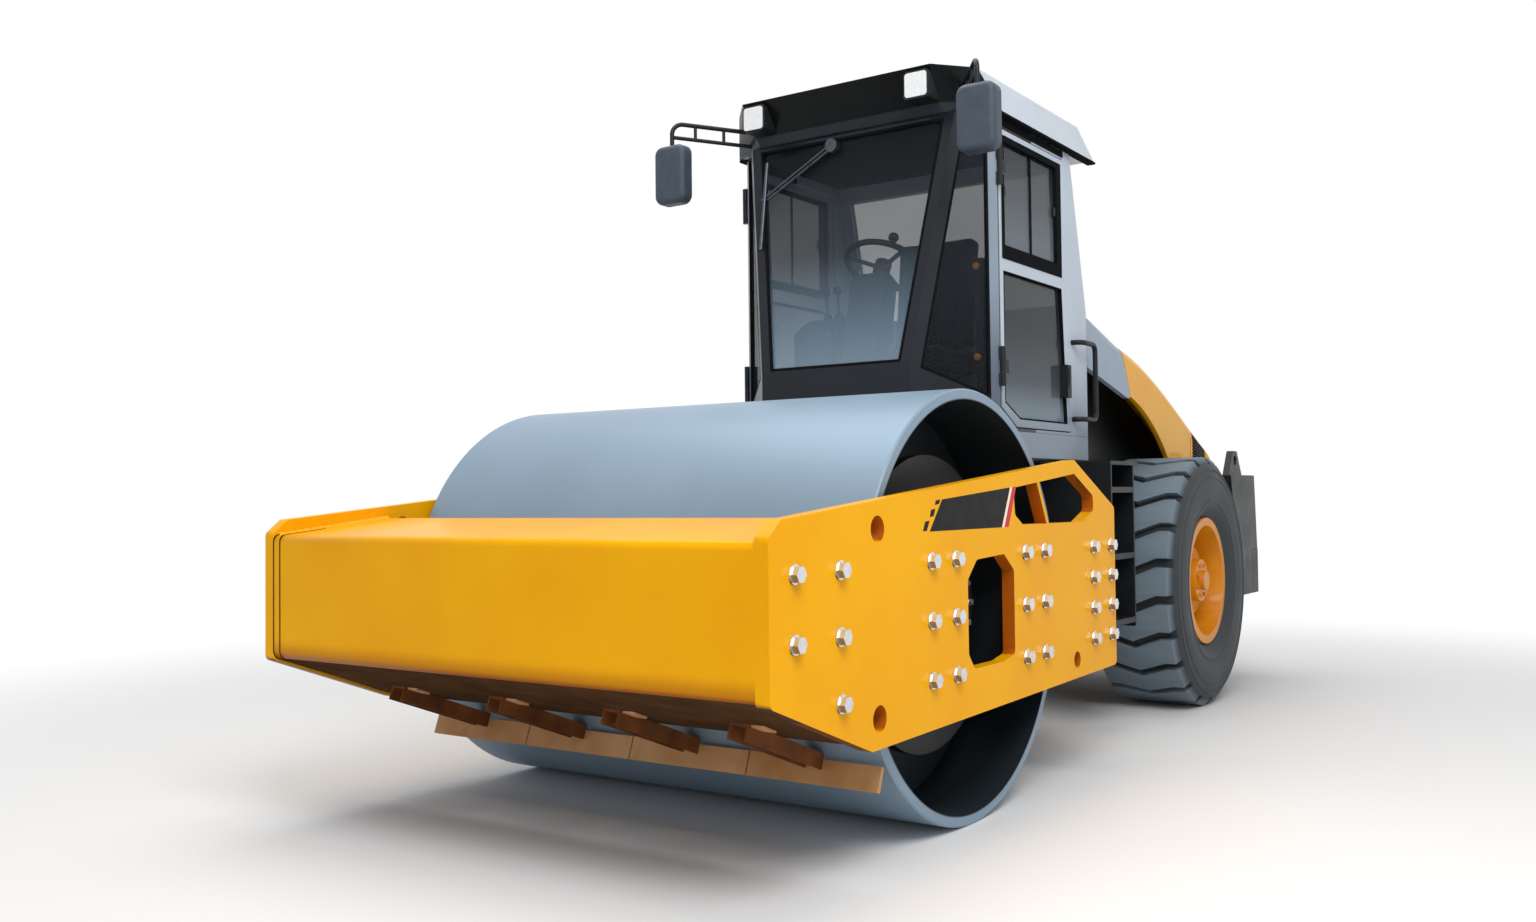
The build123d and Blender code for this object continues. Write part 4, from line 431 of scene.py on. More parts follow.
# Rust: brown scale with orange bloom, dry and rough; the blades are rubbed paler by the drum.
rusted_steel = finish("rusted_mild_steel", ("#5F381A", "#884F26"), (0.62, 0.85), 110.0, 5.0, 0.12)
coat(rusted_steel, "scraper_brackets", edge_mm=1.5)
rubbed_steel = finish("rubbed_rusted_steel", ("#B9824C", "#E0B182"), (0.5, 0.7), 260.0, 5.0, 0.08)
coat(rubbed_steel, "scraper_blade", edge_mm=1.5)
tabs = bmesh.new()
for station in CHANNEL_STATIONS:
    corner = Vector((CHANNEL_FRONT[0], station + 0.036, CHANNEL_FRONT[1] - 0.0005)) - UNDER_SLOPE * 0.012
    across, back = Vector((0, TAB_WIDTH, 0)), UNDER_SLOPE * -TAB_LENGTH
    prism(tabs, [corner, corner + across, corner + across + back, corner + back], (0, 0, -TAB_PLATE))
fitted("scraper_tabs", tabs, rubbed_steel, "front_frame", edge_mm=1.0)


# The drum is rolled from thick plate, machined round and sprayed with a thin blue-grey coat that the ground
# wears. Its inside is darkened with a painted shade.
DRUM_BORE = 0.760  # m, radius of the shell's inside


def from_axle(material, axle, start, end, share=1.0):
    """A factor from none to a share as the radius about an axle (m ahead, m up) goes from start to end."""
    tree = material.node_tree
    place = add_node(tree, "ShaderNodeTexCoord").outputs["Object"]
    flat = add_node(tree, "ShaderNodeVectorMath", {"operation": "MULTIPLY"}, {1: (1, 0, 1)}, {0: place})
    radius = add_node(tree, "ShaderNodeVectorMath", {"operation": "DISTANCE"}, {1: (axle[0], 0, axle[1])},
                      {0: flat.outputs[0]})
    return add_node(tree, "ShaderNodeMapRange", None, {"From Min": start, "From Max": end, "To Max": share},
                    {"Value": radius.outputs["Value"]}).outputs["Result"]


# Thin grey-blue coat on machined steel: satin and even, with the faint waves of the rolling.
drum_steel = finish("rolled_drum_steel", ("#8399AC", "#8BA1B4"), (0.38, 0.46), 700.0, 18.0, 0.05, metallic=0.2)
# A painted shade darkens the shell inside its bore.
inside = from_axle(drum_steel, DRUM_AXLE, DRUM_BORE + 0.006, DRUM_BORE + 0.001)
shaded_where(drum_steel, inside, "#2A3339")
coat(drum_steel, "drum")


# The centre joint is a black casting; the steering cylinders are black barrels with hard-chromed rods.
coat(black_enamel, "centre_joint", "steering_barrel_left", "steering_barrel_right")
# Hard chrome: bright and smooth, with faint dull runs along the stroke.
chromed_rod = finish("hard_chromed_steel", ("#CFD3D6", "#DADDE0"), (0.08, 0.16), 40.0, 3.0, 0.01, metallic=1.0)
coat(chromed_rod, "steering_rod_left", "steering_rod_right")


# The rear chassis, its axle, the engine block and the walls beside it are welded or cast pieces that bolt up to
# one another, all in black enamel.
coat(black_enamel, "rear_frame", "rear_axle", "engine_block", "inner_walls")


# The wheels are pressed steel rims with planetary hubs in orange-yellow enamel. Twelve nuts hold each disc to
# its hub and eight screws close the hub's cap; they are painted with the wheel.
SIDES = (("left", 1), ("right", -1))
REAR_AXLE = (-1.668, 0.705)  # m ahead, m up
DISC_FACE, NUT_RING = 0.785, 0.245
CAP_FACE, SCREW_RING = 0.955, 0.090
# Sprayed in one thin coat after pressing: a deeper orange than the frame.
rim_enamel = finish("orange_rim_enamel", ("#D58405", "#E2920B"), (0.34, 0.46), 160.0, 6.0, 0.05,
                    Coat_Weight=0.15)
coat(rim_enamel, "rim_left", "rim_right", edge_mm=3.0)
for name, side in SIDES:
    nut_points = bolt_circle(REAR_AXLE, side * DISC_FACE, NUT_RING, 12)
    screw_points = bolt_circle(REAR_AXLE, side * CAP_FACE, SCREW_RING, 8, 0.5)
    bolted("wheel_nuts_" + name, nut_points, (20, 24, 25, 6), rim_enamel, "wheel_" + name)
    bolted("hub_screws_" + name, screw_points, (11, 10, 13, 2), rim_enamel, "wheel_" + name)


# The tyres are moulded black rubber with deep traction lugs. Raised rings run round each side wall, and the
# rubber is matt and slightly grey with dust.
WHEEL_MIDDLE = 0.770  # m from the centre line
RIB_RINGS = [(0.452, 0.250, 0.006), (0.590, 0.2545, 0.004), (0.632, 0.2495, 0.007)]  # radius, out, height


def lathe(shape, profile, centre, axis, steps=48):
    """Turn a closed profile of (radius, along) about an axis through a centre."""
    axis = Vector(axis)
    across = axis.orthogonal().normalized()
    upward = axis.cross(across)
    rings = []
    for step in range(steps):
        arm = across * cos(tau * step / steps) + upward * sin(tau * step / steps)
        rings.append([shape.verts.new(Vector(centre) + arm * radius + axis * along)
                      for radius, along in profile])
    for step in range(steps):
        here, there = rings[step], rings[(step + 1) % steps]
        for index in range(len(profile)):
            follow = (index + 1) % len(profile)
            corners = [here[index], here[follow], there[follow], there[index]]
            if profile[index][0] + profile[follow][0] > 0:
                shape.faces.new(corners)


# Vulcanised rubber: near black and matt in the grooves, greyed in patches by dust, with a painted pale
# blue-grey highlight on the lugs' tops.
tyre_rubber = finish("vulcanised_tyre_rubber", ("#2C3135", "#3A4146"), (0.55, 0.72), 240.0, 9.0, 0.25,
                     gloss=0.4)
shaded_where(tyre_rubber, from_axle(tyre_rubber, REAR_AXLE, 0.668, 0.700, 0.75), "#7A8B98")
coat(tyre_rubber, "tyre_left", "tyre_right", edge_mm=5.0)
for name, side in SIDES:
    ribs = bmesh.new()
    for face in (-1, 1):
        for radius, out, height in RIB_RINGS:
            section = [(radius - height, out - height), (radius - height / 2, out + height / 2),
                       (radius + height / 2, out + height / 2), (radius + height, out - height)]
            lathe(ribs, section, (REAR_AXLE[0], side * WHEEL_MIDDLE, REAR_AXLE[1]), (0, face, 0), 96)
    fitted("tyre_ribs_" + name, ribs, tyre_rubber, "wheel_" + name)


# The counterweight is a cast bar across the tail, with a black tower on each end that holds a lifting eye and a
# round red lamp. The radiator's grille stands between them with a fine wire screen behind its slats.
SCREEN = (-2.790, 0.590, 0.892, 1.262)  # m: place, half width, foot, head
SCREEN_MESH = 0.0125
WIRE = 0.0012  # m, radius
coat(black_enamel, "counterweight", "tail_tower_left", "tail_tower_right", edge_mm=4.0)
# Moulded red acrylic: saturated, clear and glossy.
red_lens = finish("red_acrylic_lens", ("#A50D12", "#B51218"), (0.1, 0.16), 30.0, 4.0, 0.05, Coat_Weight=0.5)
coat(red_lens, "tail_lamps", edge_mm=2.0)
# Dark powder coat: charcoal with a fine leathery texture.
dark_coat = finish("dark_powder_coat", ("#26292D", "#2D3135"), (0.45, 0.58), 120.0, 3.0, 0.06)
coat(dark_coat, "rear_grille")


def wire_tree():
    """A thin round wire at each point, along the point's axis."""
    tree, given = repeat_tree("screen_wires", ("Length", "Radius"))
    wire = add_node(tree, "GeometryNodeMeshCylinder", None, {"Vertices": 6},
                    {"Radius": given["Radius"], "Depth": given["Length"]})
    set_on_points(tree, given, wire.outputs["Mesh"], "Z")
    return tree


screen_wires = wire_tree()
place, half, low, high = SCREEN
across = [(place, 0, low + 0.010 + SCREEN_MESH * index) for index in range(int((high - low) / SCREEN_MESH))]
upright = [(place + WIRE, -half + SCREEN_MESH * (index + 1), (low + high) / 2)
           for index in range(int(2 * half / SCREEN_MESH))]
for name, points, axis, length in (("screen_wires_across", across, (0, 1, 0), 2 * half),
                                   ("screen_wires_upright", upright, (0, 0, 1), high - low)):
    repeated(name, points, [axis] * len(points), screen_wires, {
        "Length": length, "Radius": WIRE, "Finish": dark_coat}, "rear_body")


# The cowl behind the cab and the hood are glass-fibre shells with a gel coat, grey on the cowl and yellow on
# the hood. The hood's side vents are black moulded louvres with a raised rim below the hood's rounded edge.
VENT = [(-0.740, 1.590), (-0.740, 1.420), (-1.040, 1.400), (-1.040, 1.480)]  # m ahead of the rear axle, m up
VENT_FACE = 0.690
VENT_RIM, RIM_HEIGHT = 0.024, 0.004
VENT_ROUND = 0.040  # m under the vent's head, where the hood's side is flat
# Gel coat: smooth and glossy, with the long waves that a glass-fibre mould leaves.
grey_gel = finish("light_grey_gel_coat", ("#93A3B5", "#9BABBD"), (0.26, 0.34), 350.0, 60.0, 0.12)
yellow_gel = finish("yellow_gel_coat", ("#F6AC00", "#FBB608"), (0.24, 0.32), 420.0, 60.0, 0.12,
                    gloss=0.05, Coat_Weight=0.3, Coat_Roughness=0.06)
# Injection-moulded plastic: charcoal black with a fine leather grain.
black_plastic = finish("black_grained_plastic", ("#1B1C1F", "#202225"), (0.46, 0.58), 70.0, 1.6, 0.05)
coat(grey_gel, "cowl", edge_mm=4.0)
coat(yellow_gel, "hood", edge_mm=4.0)
coat(black_plastic, "hood_vents")


def inset(outline, widths):
    """A flat outline of points with each edge moved inwards by its width; the edge i leaves the point i."""
    points = [Vector(point) for point in outline]
    count = len(points)
    normal = sum((points[i].cross(points[(i + 1) % count]) for i in range(count)), Vector()).normalized()
    inner = []
    for index in range(count):
        before, here, after = points[index - 1], points[index], points[(index + 1) % count]
        first, second = (here - before).normalized(), (after - here).normalized()
        first_in, second_in = normal.cross(first), normal.cross(second)
        sweep = first.cross(second).dot(normal)
        start, end = here + first_in * widths[index - 1], here + second_in * widths[index]
        reach = (end - start).cross(second).dot(normal) / sweep
        inner.append(start + first * reach)
    return inner


def ring(shape, outer, inner, shift):
    """Add a closed frame between two flat loops of points, moved by a vector."""
    low, high = loops(shape, outer, shift)
    inner_low, inner_high = loops(shape, inner, shift)
    for first, second in ((low, high), (inner_low, inner_high), (low, inner_low), (high, inner_high)):
        wall(shape, first, second)


vent_rims = bmesh.new()
for side in (-1, 1):
    outline = on_side([(REAR_AXLE[0] + x, z) for x, z in VENT], VENT_FACE, side)
    outer = inset(outline, [-VENT_RIM] * 3 + [VENT_ROUND])
    inner = inset(outline, [0.0] * 3 + [VENT_ROUND])
    prism(vent_rims, outer + inner[::-1], (0, side * RIM_HEIGHT, 0))
fitted("vent_rims", vent_rims, yellow_gel, "hood", edge_mm=1.5)


# The ladders are black welded steel that bolts to the chassis, with treads of raised plate. They are worn bright
# along the foot where boots land.
LADDER_X = (-0.708, -0.373)
TREADS = [(LADDER_X, (0.7555, 0.904), 0.575), (LADDER_X, (0.650, 0.904), 0.905),
          (LADDER_X, (0.650, 0.904), 1.240), ((-0.766, -0.375), (0.442, 0.904), 1.370)]  # m: ahead, across, up
TREAD_EDGE, TREAD_PITCH = 0.024, 0.030
WORN_FOOT = ((-0.389, -0.373), (0.757, 0.903), 0.525)  # m: ahead, across, up
coat(black_enamel, "ladder_left", "ladder_right", edge_mm=2.0)


def lozenge_tree():
    """A raised lozenge at each point, its length along the point's axis."""
    tree, given = repeat_tree("tread_lozenges", ("Length", "Width", "Height"))
    ball = add_node(tree, "GeometryNodeMeshUVSphere", None, {"Segments": 8, "Rings": 5, "Radius": 0.5})
    size = add_node(tree, "ShaderNodeCombineXYZ", None, None,
                    {"X": given["Length"], "Y": given["Width"], "Z": given["Height"]})
    pressed = add_node(tree, "GeometryNodeTransform", None, None,
                       {"Geometry": ball.outputs["Mesh"], "Scale": size.outputs[0]})
    set_on_points(tree, given, pressed.outputs[0], "X")
    return tree


tread_lozenges = lozenge_tree()
lozenge_points = []
lozenge_axes = []
for (x_low, x_high), (y_low, y_high), level in TREADS:
    columns = int((x_high - x_low - TREAD_EDGE) / TREAD_PITCH)
    rows = int((y_high - y_low - TREAD_EDGE) / TREAD_PITCH)
    for column in range(columns):
        for row in range(rows):
            x, y = x_low + TREAD_EDGE + column * TREAD_PITCH, y_low + TREAD_EDGE + row * TREAD_PITCH
            lozenge_points += [(x, -y, level), (x, y, level)]
            lozenge_axes += [(1, 1 if (column + row) % 2 else -1, 0)] * 2
repeated("tread_lozenges", lozenge_points, lozenge_axes, tread_lozenges, {
    "Length": 0.026, "Width": 0.009, "Height": 0.003, "Finish": black_enamel}, "rear_body")
# Worn steel: the enamel is rubbed through to bare metal.
worn_steel = finish("worn_bare_steel", ("#8D9094", "#BBBEC1"), (0.3, 0.5), 20.0, 4.0, 0.05, metallic=0.8)


def rectangle(firsts, seconds):
    """The corners of a rectangle from its bounds in two directions."""
    (start, end), (low, high) = firsts, seconds
    return [(start, low), (end, low), (end, high), (start, high)]


worn_feet = bmesh.new()
for side in (-1, 1):
    prism(worn_feet, [(x, side * y, WORN_FOOT[2]) for x, y in rectangle(*WORN_FOOT[:2])], (0, 0, -0.001))
fitted("worn_ladder_feet", worn_feet, worn_steel, "rear_body")


# The cab is a welded frame of pressed sheet. Its front is painted dark blue-grey and its rear half and doors
# light grey; a grey cover strip closes the seam between each corner pane and its door.
DOOR_POST = Vector((0.452, 0.700, 0))
POST_RUN = Vector((0.7243, -0.6893, 0))  # along the chamfered corner, towards the front
POST_OUT = Vector((0.6893, 0.7243, 0))
POST_COVER = (0.002, 0.046)  # m along the chamfer
CAB_FLOOR, CAB_HEAD = 1.520, 2.936  # m up
# Cab enamel: light blue-grey, an even semi-gloss over pressed sheet, darkened towards the sill by a painted
# shade.
grey_enamel = finish("light_grey_cab_enamel", ("#BCC9D7", "#C4D1DF"), (0.3, 0.38), 320.0, 8.0, 0.03)
shaded_where(grey_enamel, graded(grey_enamel, "Object", "Z", 1.95, 1.45, 0.85), "#6F7F90")
coat(grey_enamel, "cab_floor", "cab_rear_frame", edge_mm=3.0)
# Slate enamel: nearly black with a cold tinge, in the same semi-gloss.
slate_enamel = finish("dark_slate_cab_enamel", ("#181C22", "#1E232A"), (0.28, 0.36), 320.0, 8.0, 0.03)
coat(slate_enamel, "cab_front_frame", edge_mm=3.0)


def mirrored(point, side):
    """A point on the left side, or its image on the right."""
    return Vector((point[0], side * point[1], point[2]))


post_covers = bmesh.new()
for side in (-1, 1):
    outline = [mirrored(DOOR_POST + POST_RUN * run + Vector((0, 0, z)), side)
               for run, z in rectangle(POST_COVER, (CAB_FLOOR, CAB_HEAD))]
    prism(post_covers, outline, mirrored(POST_OUT * 0.0015, side))
# The covers' enamel is a shade darker than the cab's, and a painted shade darkens it further towards the sill.
shaded_enamel = finish("mid_grey_cab_enamel", ("#8A98A7", "#92A0AF"), (0.3, 0.38), 320.0, 8.0, 0.03)
shaded_where(shaded_enamel, graded(shaded_enamel, "Object", "Z", 2.35, 1.60, 0.9), "#596572")
fitted("post_covers", post_covers, shaded_enamel, "rear_body")


# Each door hangs on two black pin hinges on the post. Its upper window sits in a black moulded frame with a deep
# bottom rail and has two sliding panes with latches; the lower pane is bonded behind a thin seal.
HINGE_AXIS = (0.453, 0.714)  # m ahead, m from the centre line
HINGES = ((1.760, 1.820), (2.680, 2.740))  # m up, the foot and head of each middle knuckle
KNUCKLE = (0.0122, 0.0132)  # m, the sleeve's inner and outer radius
POST_KNUCKLE = 0.060
PANE_BACK, PANE_FACE = 0.6842, 0.6845  # m from the centre line
DOOR_FACE, LEAF_FACE, HANDLE_FACE = 0.7002, 0.7157, 0.7295
WINDOW = [(0.405, 2.300), (0.405, 2.853), (-0.280, 2.853), (-0.280, 2.300)]  # m ahead, m up
WINDOW_RAILS = (0.020, 0.020, 0.048, 0.055)  # front, head, rear, bottom
WINDOW_LIP = 0.010
MEETING_RAIL = ((0.053, 0.067), (2.355, 2.833))
LATCHES = ((0.363, 0.381), (-0.221, -0.203))
LATCH_LEVELS = (2.588, 2.632)
LOWER_PANE = [(0.405, 2.235), (0.405, 1.628), (0.240, 1.557), (-0.335, 1.557), (-0.2848, 2.235)]
HANDLE_COVER = ((-0.326, -0.278), (1.688, 1.852))
HANDLE_GRIP = ((-0.316, -0.288), (1.745, 1.835))


def glazing(name, clearness, shades):
    """Tinted glass: shades by height in metres for its tint and any painted reflection, part clear, with a sharp
    reflection.
    """
    material, tree, shader = begin_material(name)
    shader.inputs["Roughness"].default_value = 0.03
    shader.inputs["Specular IOR Level"].default_value = 0.16
    place = add_node(tree, "ShaderNodeTexCoord").outputs["Object"]
    height = add_node(tree, "ShaderNodeSeparateXYZ", links={"Vector": place})
    low, high = shades[0][0], shades[-1][0]
    rise = add_node(tree, "ShaderNodeMapRange", None, {"From Min": low, "From Max": high},
                    {"Value": height.outputs["Z"]})
    tint_and_reflection = add_node(tree, "ShaderNodeValToRGB", links={"Fac": rise.outputs["Result"]})
    stops = tint_and_reflection.color_ramp.elements
    while len(stops) < len(shades):
        stops.new(0.5)
    for stop, (level, shade) in zip(stops, shades):
        stop.position = (level - low) / (high - low)
        stop.color = linear(shade)
    tree.links.new(tint_and_reflection.outputs["Color"], shader.inputs["Base Color"])
    haze = add_node(tree, "ShaderNodeTexNoise", None, {"Scale": 3.0, "Detail": 3.0}, {"Vector": place})
    veil = add_node(tree, "ShaderNodeMapRange", None,
                    {"To Min": 0.97 - clearness, "To Max": 1.03 - clearness}, {"Value": haze.outputs["Fac"]})
    tree.links.new(veil.outputs["Result"], shader.inputs["Alpha"])
    return material


# Float glass with a grey tint, darker towards its head: clear and mirror smooth, its pale blue foot a painted
# reflection of the sky.
screen_glass = glazing("windscreen_glass_tint_and_painted_reflection", 0.70, [
    (1.80, "#B4CDE0"), (2.05, "#859DB0"), (2.35, "#3F4850"), (2.65, "#2C3238"), (2.93, "#191D21")])
corner_pane_glass = glazing("dark_corner_glass", 0.62, [
    (1.65, "#1B2025"), (2.30, "#2A3036"), (2.93, "#2C3238")])
# Door glass: each pane fades from a painted pale reflection at its foot to its dark tint at its head.
door_glass = glazing("door_glass_tint_and_painted_reflection", 0.30, [
    (1.55, "#93A8B7"), (1.74, "#525D65"), (2.00, "#2E3439"), (2.24, "#252A2E"), (2.34, "#66747F"),
    (2.60, "#454E56"), (2.86, "#20252A")])
# Extruded rubber: black and quite matt.
rubber_seal = finish("black_rubber_seal", ("#131416", "#191A1C"), (0.75, 0.9), 50.0, 3.0, 0.03, gloss=0.03)
coat(grey_enamel, "door_left", "door_right", edge_mm=3.0)
coat(door_glass, "door_glass_left", "door_glass_right")
coat(corner_pane_glass, "corner_glass", "rear_window")
coat(screen_glass, "windscreen")
for name, side in SIDES:
    body = "door_" + name
    frame_rubber = bmesh.new()
    outline = on_side(WINDOW, PANE_BACK, side)
    ring(frame_rubber, outline, inset(outline, WINDOW_RAILS), (0, side * 0.0188, 0))
    opening = on_side(WINDOW, DOOR_FACE, side)
    ring(frame_rubber, inset(opening, [-WINDOW_LIP] * 4), opening, (0, side * 0.0028, 0))
    prism(frame_rubber, on_side(rectangle(*MEETING_RAIL), PANE_FACE, side), (0, side * 0.0075, 0))
    fitted("window_frame_" + name, frame_rubber, rubber_seal, body, edge_mm=2.0)
    latches = bmesh.new()
    for latch in LATCHES:
        prism(latches, on_side(rectangle(latch, LATCH_LEVELS), PANE_FACE, side), (0, side * 0.016, 0))
    fitted("window_latches_" + name, latches, black_plastic, body, edge_mm=2.0)
    seal = bmesh.new()
    outline = on_side(LOWER_PANE, PANE_BACK, side)
    ring(seal, outline, inset(outline, [0.008] * 5), (0, side * 0.0168, 0))
    fitted("pane_seal_" + name, seal, rubber_seal, body, edge_mm=1.5)
    handle = bmesh.new()
    prism(handle, on_side(rectangle(*HANDLE_COVER), PANE_FACE, side), (0, side * 0.045, 0))
    prism(handle, on_side(rectangle(*HANDLE_GRIP), HANDLE_FACE, side), (0, side * 0.004, 0))
    fitted("handle_cover_" + name, handle, black_plastic, body, edge_mm=4.0)
    door_knuckles = bmesh.new()
    post_knuckles = bmesh.new()
    pin = (HINGE_AXIS[0], side * HINGE_AXIS[1])
    for low, high in HINGES:
        lathe(door_knuckles, rectangle(KNUCKLE, (0.0, high - low)), (*pin, low), (0, 0, 1), 24)
        for start in (low - POST_KNUCKLE, high):
            sleeve = rectangle(KNUCKLE, (0.001, POST_KNUCKLE - 0.002))
            lathe(post_knuckles, sleeve, (*pin, start), (0, 0, 1), 24)
        leaf = rectangle((HINGE_AXIS[0] - 0.056, HINGE_AXIS[0] - 0.011), (low, high))
        prism(door_knuckles, on_side(leaf, LEAF_FACE, side), (0, side * 0.0012, 0))
    fitted("door_hinges_" + name, door_knuckles, black_plastic, body)
    fitted("post_hinges_" + name, post_knuckles, black_plastic, "rear_body")


# The windscreen and the corner panes are bonded behind black rubber gaskets. A dark headliner closes the roof
# from inside and a ribbed rubber mat lies on the floor.
SCREEN_FOOT = (0.763, 0.356, 1.809)  # m: ahead, half width, up
SCREEN_HEAD = (0.600, 0.511, 2.930)
SCREEN_IN = Vector((-0.9896, 0, -0.1440))
CORNER = [(-0.048, 1.650), (-0.381, 1.779), (-0.152, 2.930), (-0.048, 2.930)]  # m along the chamfer, m up
PANE_DEPTH, GASKET = 0.0098, 0.0105  # m from the frame's face to the pane, and over it
HEADLINER = [(0.540, -0.530), (0.430, -0.642), (-0.355, -0.642),
             (-0.355, 0.642), (0.430, 0.642), (0.540, 0.530)]  # m ahead, m across
HEADLINER_FOOT = 2.938
MAT_REAR, MAT_SIDES = 0.170, (-0.300, 0.560)
RIB_PITCH, RIB_WIDTH, RIB_HEIGHT, MAT_RIBS = 0.030, 0.022, 0.006, 17
gaskets = bmesh.new()
corners = [(SCREEN_FOOT[0], -SCREEN_FOOT[1], SCREEN_FOOT[2]), SCREEN_FOOT,
           SCREEN_HEAD, (SCREEN_HEAD[0], -SCREEN_HEAD[1], SCREEN_HEAD[2])]
outline = [Vector(point) + SCREEN_IN * PANE_DEPTH for point in corners]
ring(gaskets, outline, inset(outline, [0.014] * 4), -SCREEN_IN * GASKET)
for side in (-1, 1):
    outline = [mirrored(DOOR_POST - POST_RUN * run - POST_OUT * PANE_DEPTH + Vector((0, 0, z)), side)
               for run, z in CORNER]
    ring(gaskets, outline, inset(outline, [0.012] * 4), mirrored(POST_OUT * GASKET, side))
fitted("glass_gaskets", gaskets, rubber_seal, "rear_body", edge_mm=1.5)
# Flocked headliner felt: dark, soft and without shine.
felt = finish("dark_headliner_felt", ("#2C3036", "#33373D"), (0.88, 0.95), 90.0, 5.0, 0.05, gloss=0.05)
headliner = bmesh.new()
prism(headliner, [(x, y, HEADLINER_FOOT) for x, y in HEADLINER], (0, 0, 0.010))
fitted("headliner", headliner, felt, "rear_body")
mat = bmesh.new()
for index in range(MAT_RIBS):
    start = MAT_REAR + index * RIB_PITCH
    corners = rectangle((start, start + RIB_WIDTH), MAT_SIDES)
    prism(mat, [(x, y, CAB_FLOOR) for x, y in corners], (0, 0, RIB_HEIGHT))
fitted("floor_mat", mat, rubber_seal, "rear_body", edge_mm=1.0)


# The seat stands on a black suspension box with a rubber boot. The steering column and console are grained
# plastic, and the wheel has a spinner knob on its rim. Two levers in gaiters stand on the console, and a switch
# post with amber knobs stands beside the left door.
WHEEL_HUB = Vector((0.283, 0, 2.350))
WHEEL_UP = Vector((-0.5, 0, 0.866))
WHEEL_FAR = Vector((0.866, 0, 0.5))
WHEEL_RIM = 0.185
# Turned outlines, in m from the axis and m along it.
SPINNER = [(0.0, 0.0), (0.010, 0.0), (0.010, 0.014), (0.022, 0.020), (0.026, 0.034), (0.022, 0.048),
           (0.010, 0.055), (0.0, 0.056)]
LEVER = [(0.0, 0.0), (0.028, 0.0), (0.030, 0.010), (0.020, 0.018), (0.023, 0.026), (0.013, 0.036),
         (0.0065, 0.040), (0.0065, 0.130), (0.016, 0.140), (0.021, 0.158), (0.016, 0.176), (0.0, 0.181)]
SWITCH_KNOB = [(0.0, 0.0), (0.008, 0.0), (0.008, 0.012), (0.016, 0.018), (0.016, 0.030), (0.0, 0.034)]
LEVER_LEAN = Vector((0.12, 0, 0.993))
SWITCH_POST = ((0.405, 0.440), (0.572, 0.612))  # m ahead, m across
SWITCH_LEVELS = (1.840, 2.258)
coat(black_plastic, "seat_base", "steering_column", edge_mm=2.0)
coat(dark_coat, "console", edge_mm=6.0)
knob = bmesh.new()
knob_foot = WHEEL_HUB + WHEEL_RIM * (0.64 * Vector((0, 1, 0)) + 0.77 * WHEEL_FAR) + WHEEL_UP * 0.010
lathe(knob, SPINNER, knob_foot, WHEEL_UP, 24)
fitted("spinner_knob", knob, black_plastic, "rear_body")
console_low, console_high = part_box("console")
levers = bmesh.new()
for share in (0.35, 0.65):
    foot = Vector(((console_low.x + console_high.x) / 2 + 0.08,
                   console_low.y + share * (console_high.y - console_low.y), console_high.z - 0.002))
    lathe(levers, LEVER, foot, LEVER_LEAN, 20)
fitted("control_levers", levers, black_plastic, "rear_body")
switch_post = bmesh.new()
prism(switch_post, [(x, y, CAB_FLOOR) for x, y in rectangle(*SWITCH_POST)], (0, 0, 0.780))
fitted("switch_post", switch_post, dark_coat, "rear_body", edge_mm=4.0)
# Glossy amber mouldings: a saturated signal colour with a soft highlight.
amber = finish("amber_moulded_plastic", ("#FFA81C", "#FFB52A"), (0.25, 0.35), 20.0, 4.0, 0.03)
switch_knobs = bmesh.new()
for level in SWITCH_LEVELS:
    lathe(switch_knobs, SWITCH_KNOB, (0.439, 0.592, level), (1, 0, 0), 20)
fitted("switch_knobs", switch_knobs, amber, "rear_body")


# The seat's cushion and back are moulded foam in sewn covers of dark woven cloth. Each cover starts as a skin a
# little smaller than the foam and swells outwards under its pressure.
COVER_SHARE = 0.97
SWELL_FRAMES, SWELL_LIMIT = 20, 0.010  # m, the most that a place swells
# Woven cloth: two close dark shades, soft and without shine; its weave is drawn coarser than the thread to show.
seat_cloth = finish("dark_woven_seat_cloth", ("#26292F", "#2F333A"), (0.82, 0.92), 40.0, 7.0, 0.05, gloss=0.05,
                    Sheen_Weight=0.2)
for node, name in (("seat_cushion", "seat_cushion_cover"), ("seat_back", "seat_back_cover")):
    foam = linked(name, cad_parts[node].data.copy())
    shape = bmesh.new()
    shape.from_mesh(foam.data)
    shape.transform(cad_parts[node].matrix_world)
    bmesh.ops.remove_doubles(shape, verts=shape.verts, dist=1e-5)
    middle = sum((vert.co for vert in shape.verts), Vector()) / len(shape.verts)
    for vert in shape.verts:
        vert.co = middle + (vert.co - middle) * COVER_SHARE
    shape.to_mesh(foam.data)
    shape.free()
    foam.data.materials.clear()
    foam.data.materials.append(seat_cloth)
    skin = foam.modifiers.new("skin", "REMESH")
    skin.mode = "VOXEL"
    skin.voxel_size = 0.006
    settle(foam)
    start = [vert.co.copy() for vert in foam.data.vertices]
    swell = foam.modifiers.new("swell", "CLOTH")
    swell.settings.use_pressure = True
    swell.settings.uniform_pressure_force = 4.0
    swell.settings.effector_weights.gravity = 0.0
    swell.point_cache.frame_start = 1
    swell.point_cache.frame_end = SWELL_FRAMES
    for count in range(1, SWELL_FRAMES + 1):
        bpy.context.scene.frame_set(count)
    settle(foam)
    bpy.context.scene.frame_set(1)
    for vert, first in zip(foam.data.vertices, start):
        move = vert.co - first
        if move.length > SWELL_LIMIT:
            vert.co = first + move * (SWELL_LIMIT / move.length)
    for face in foam.data.polygons:
        face.use_smooth = True
    fine = foam.modifiers.new("fine", "SUBSURF")
    fine.levels = fine.render_levels = 1
    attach(foam, "rear_body")
    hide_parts(node)


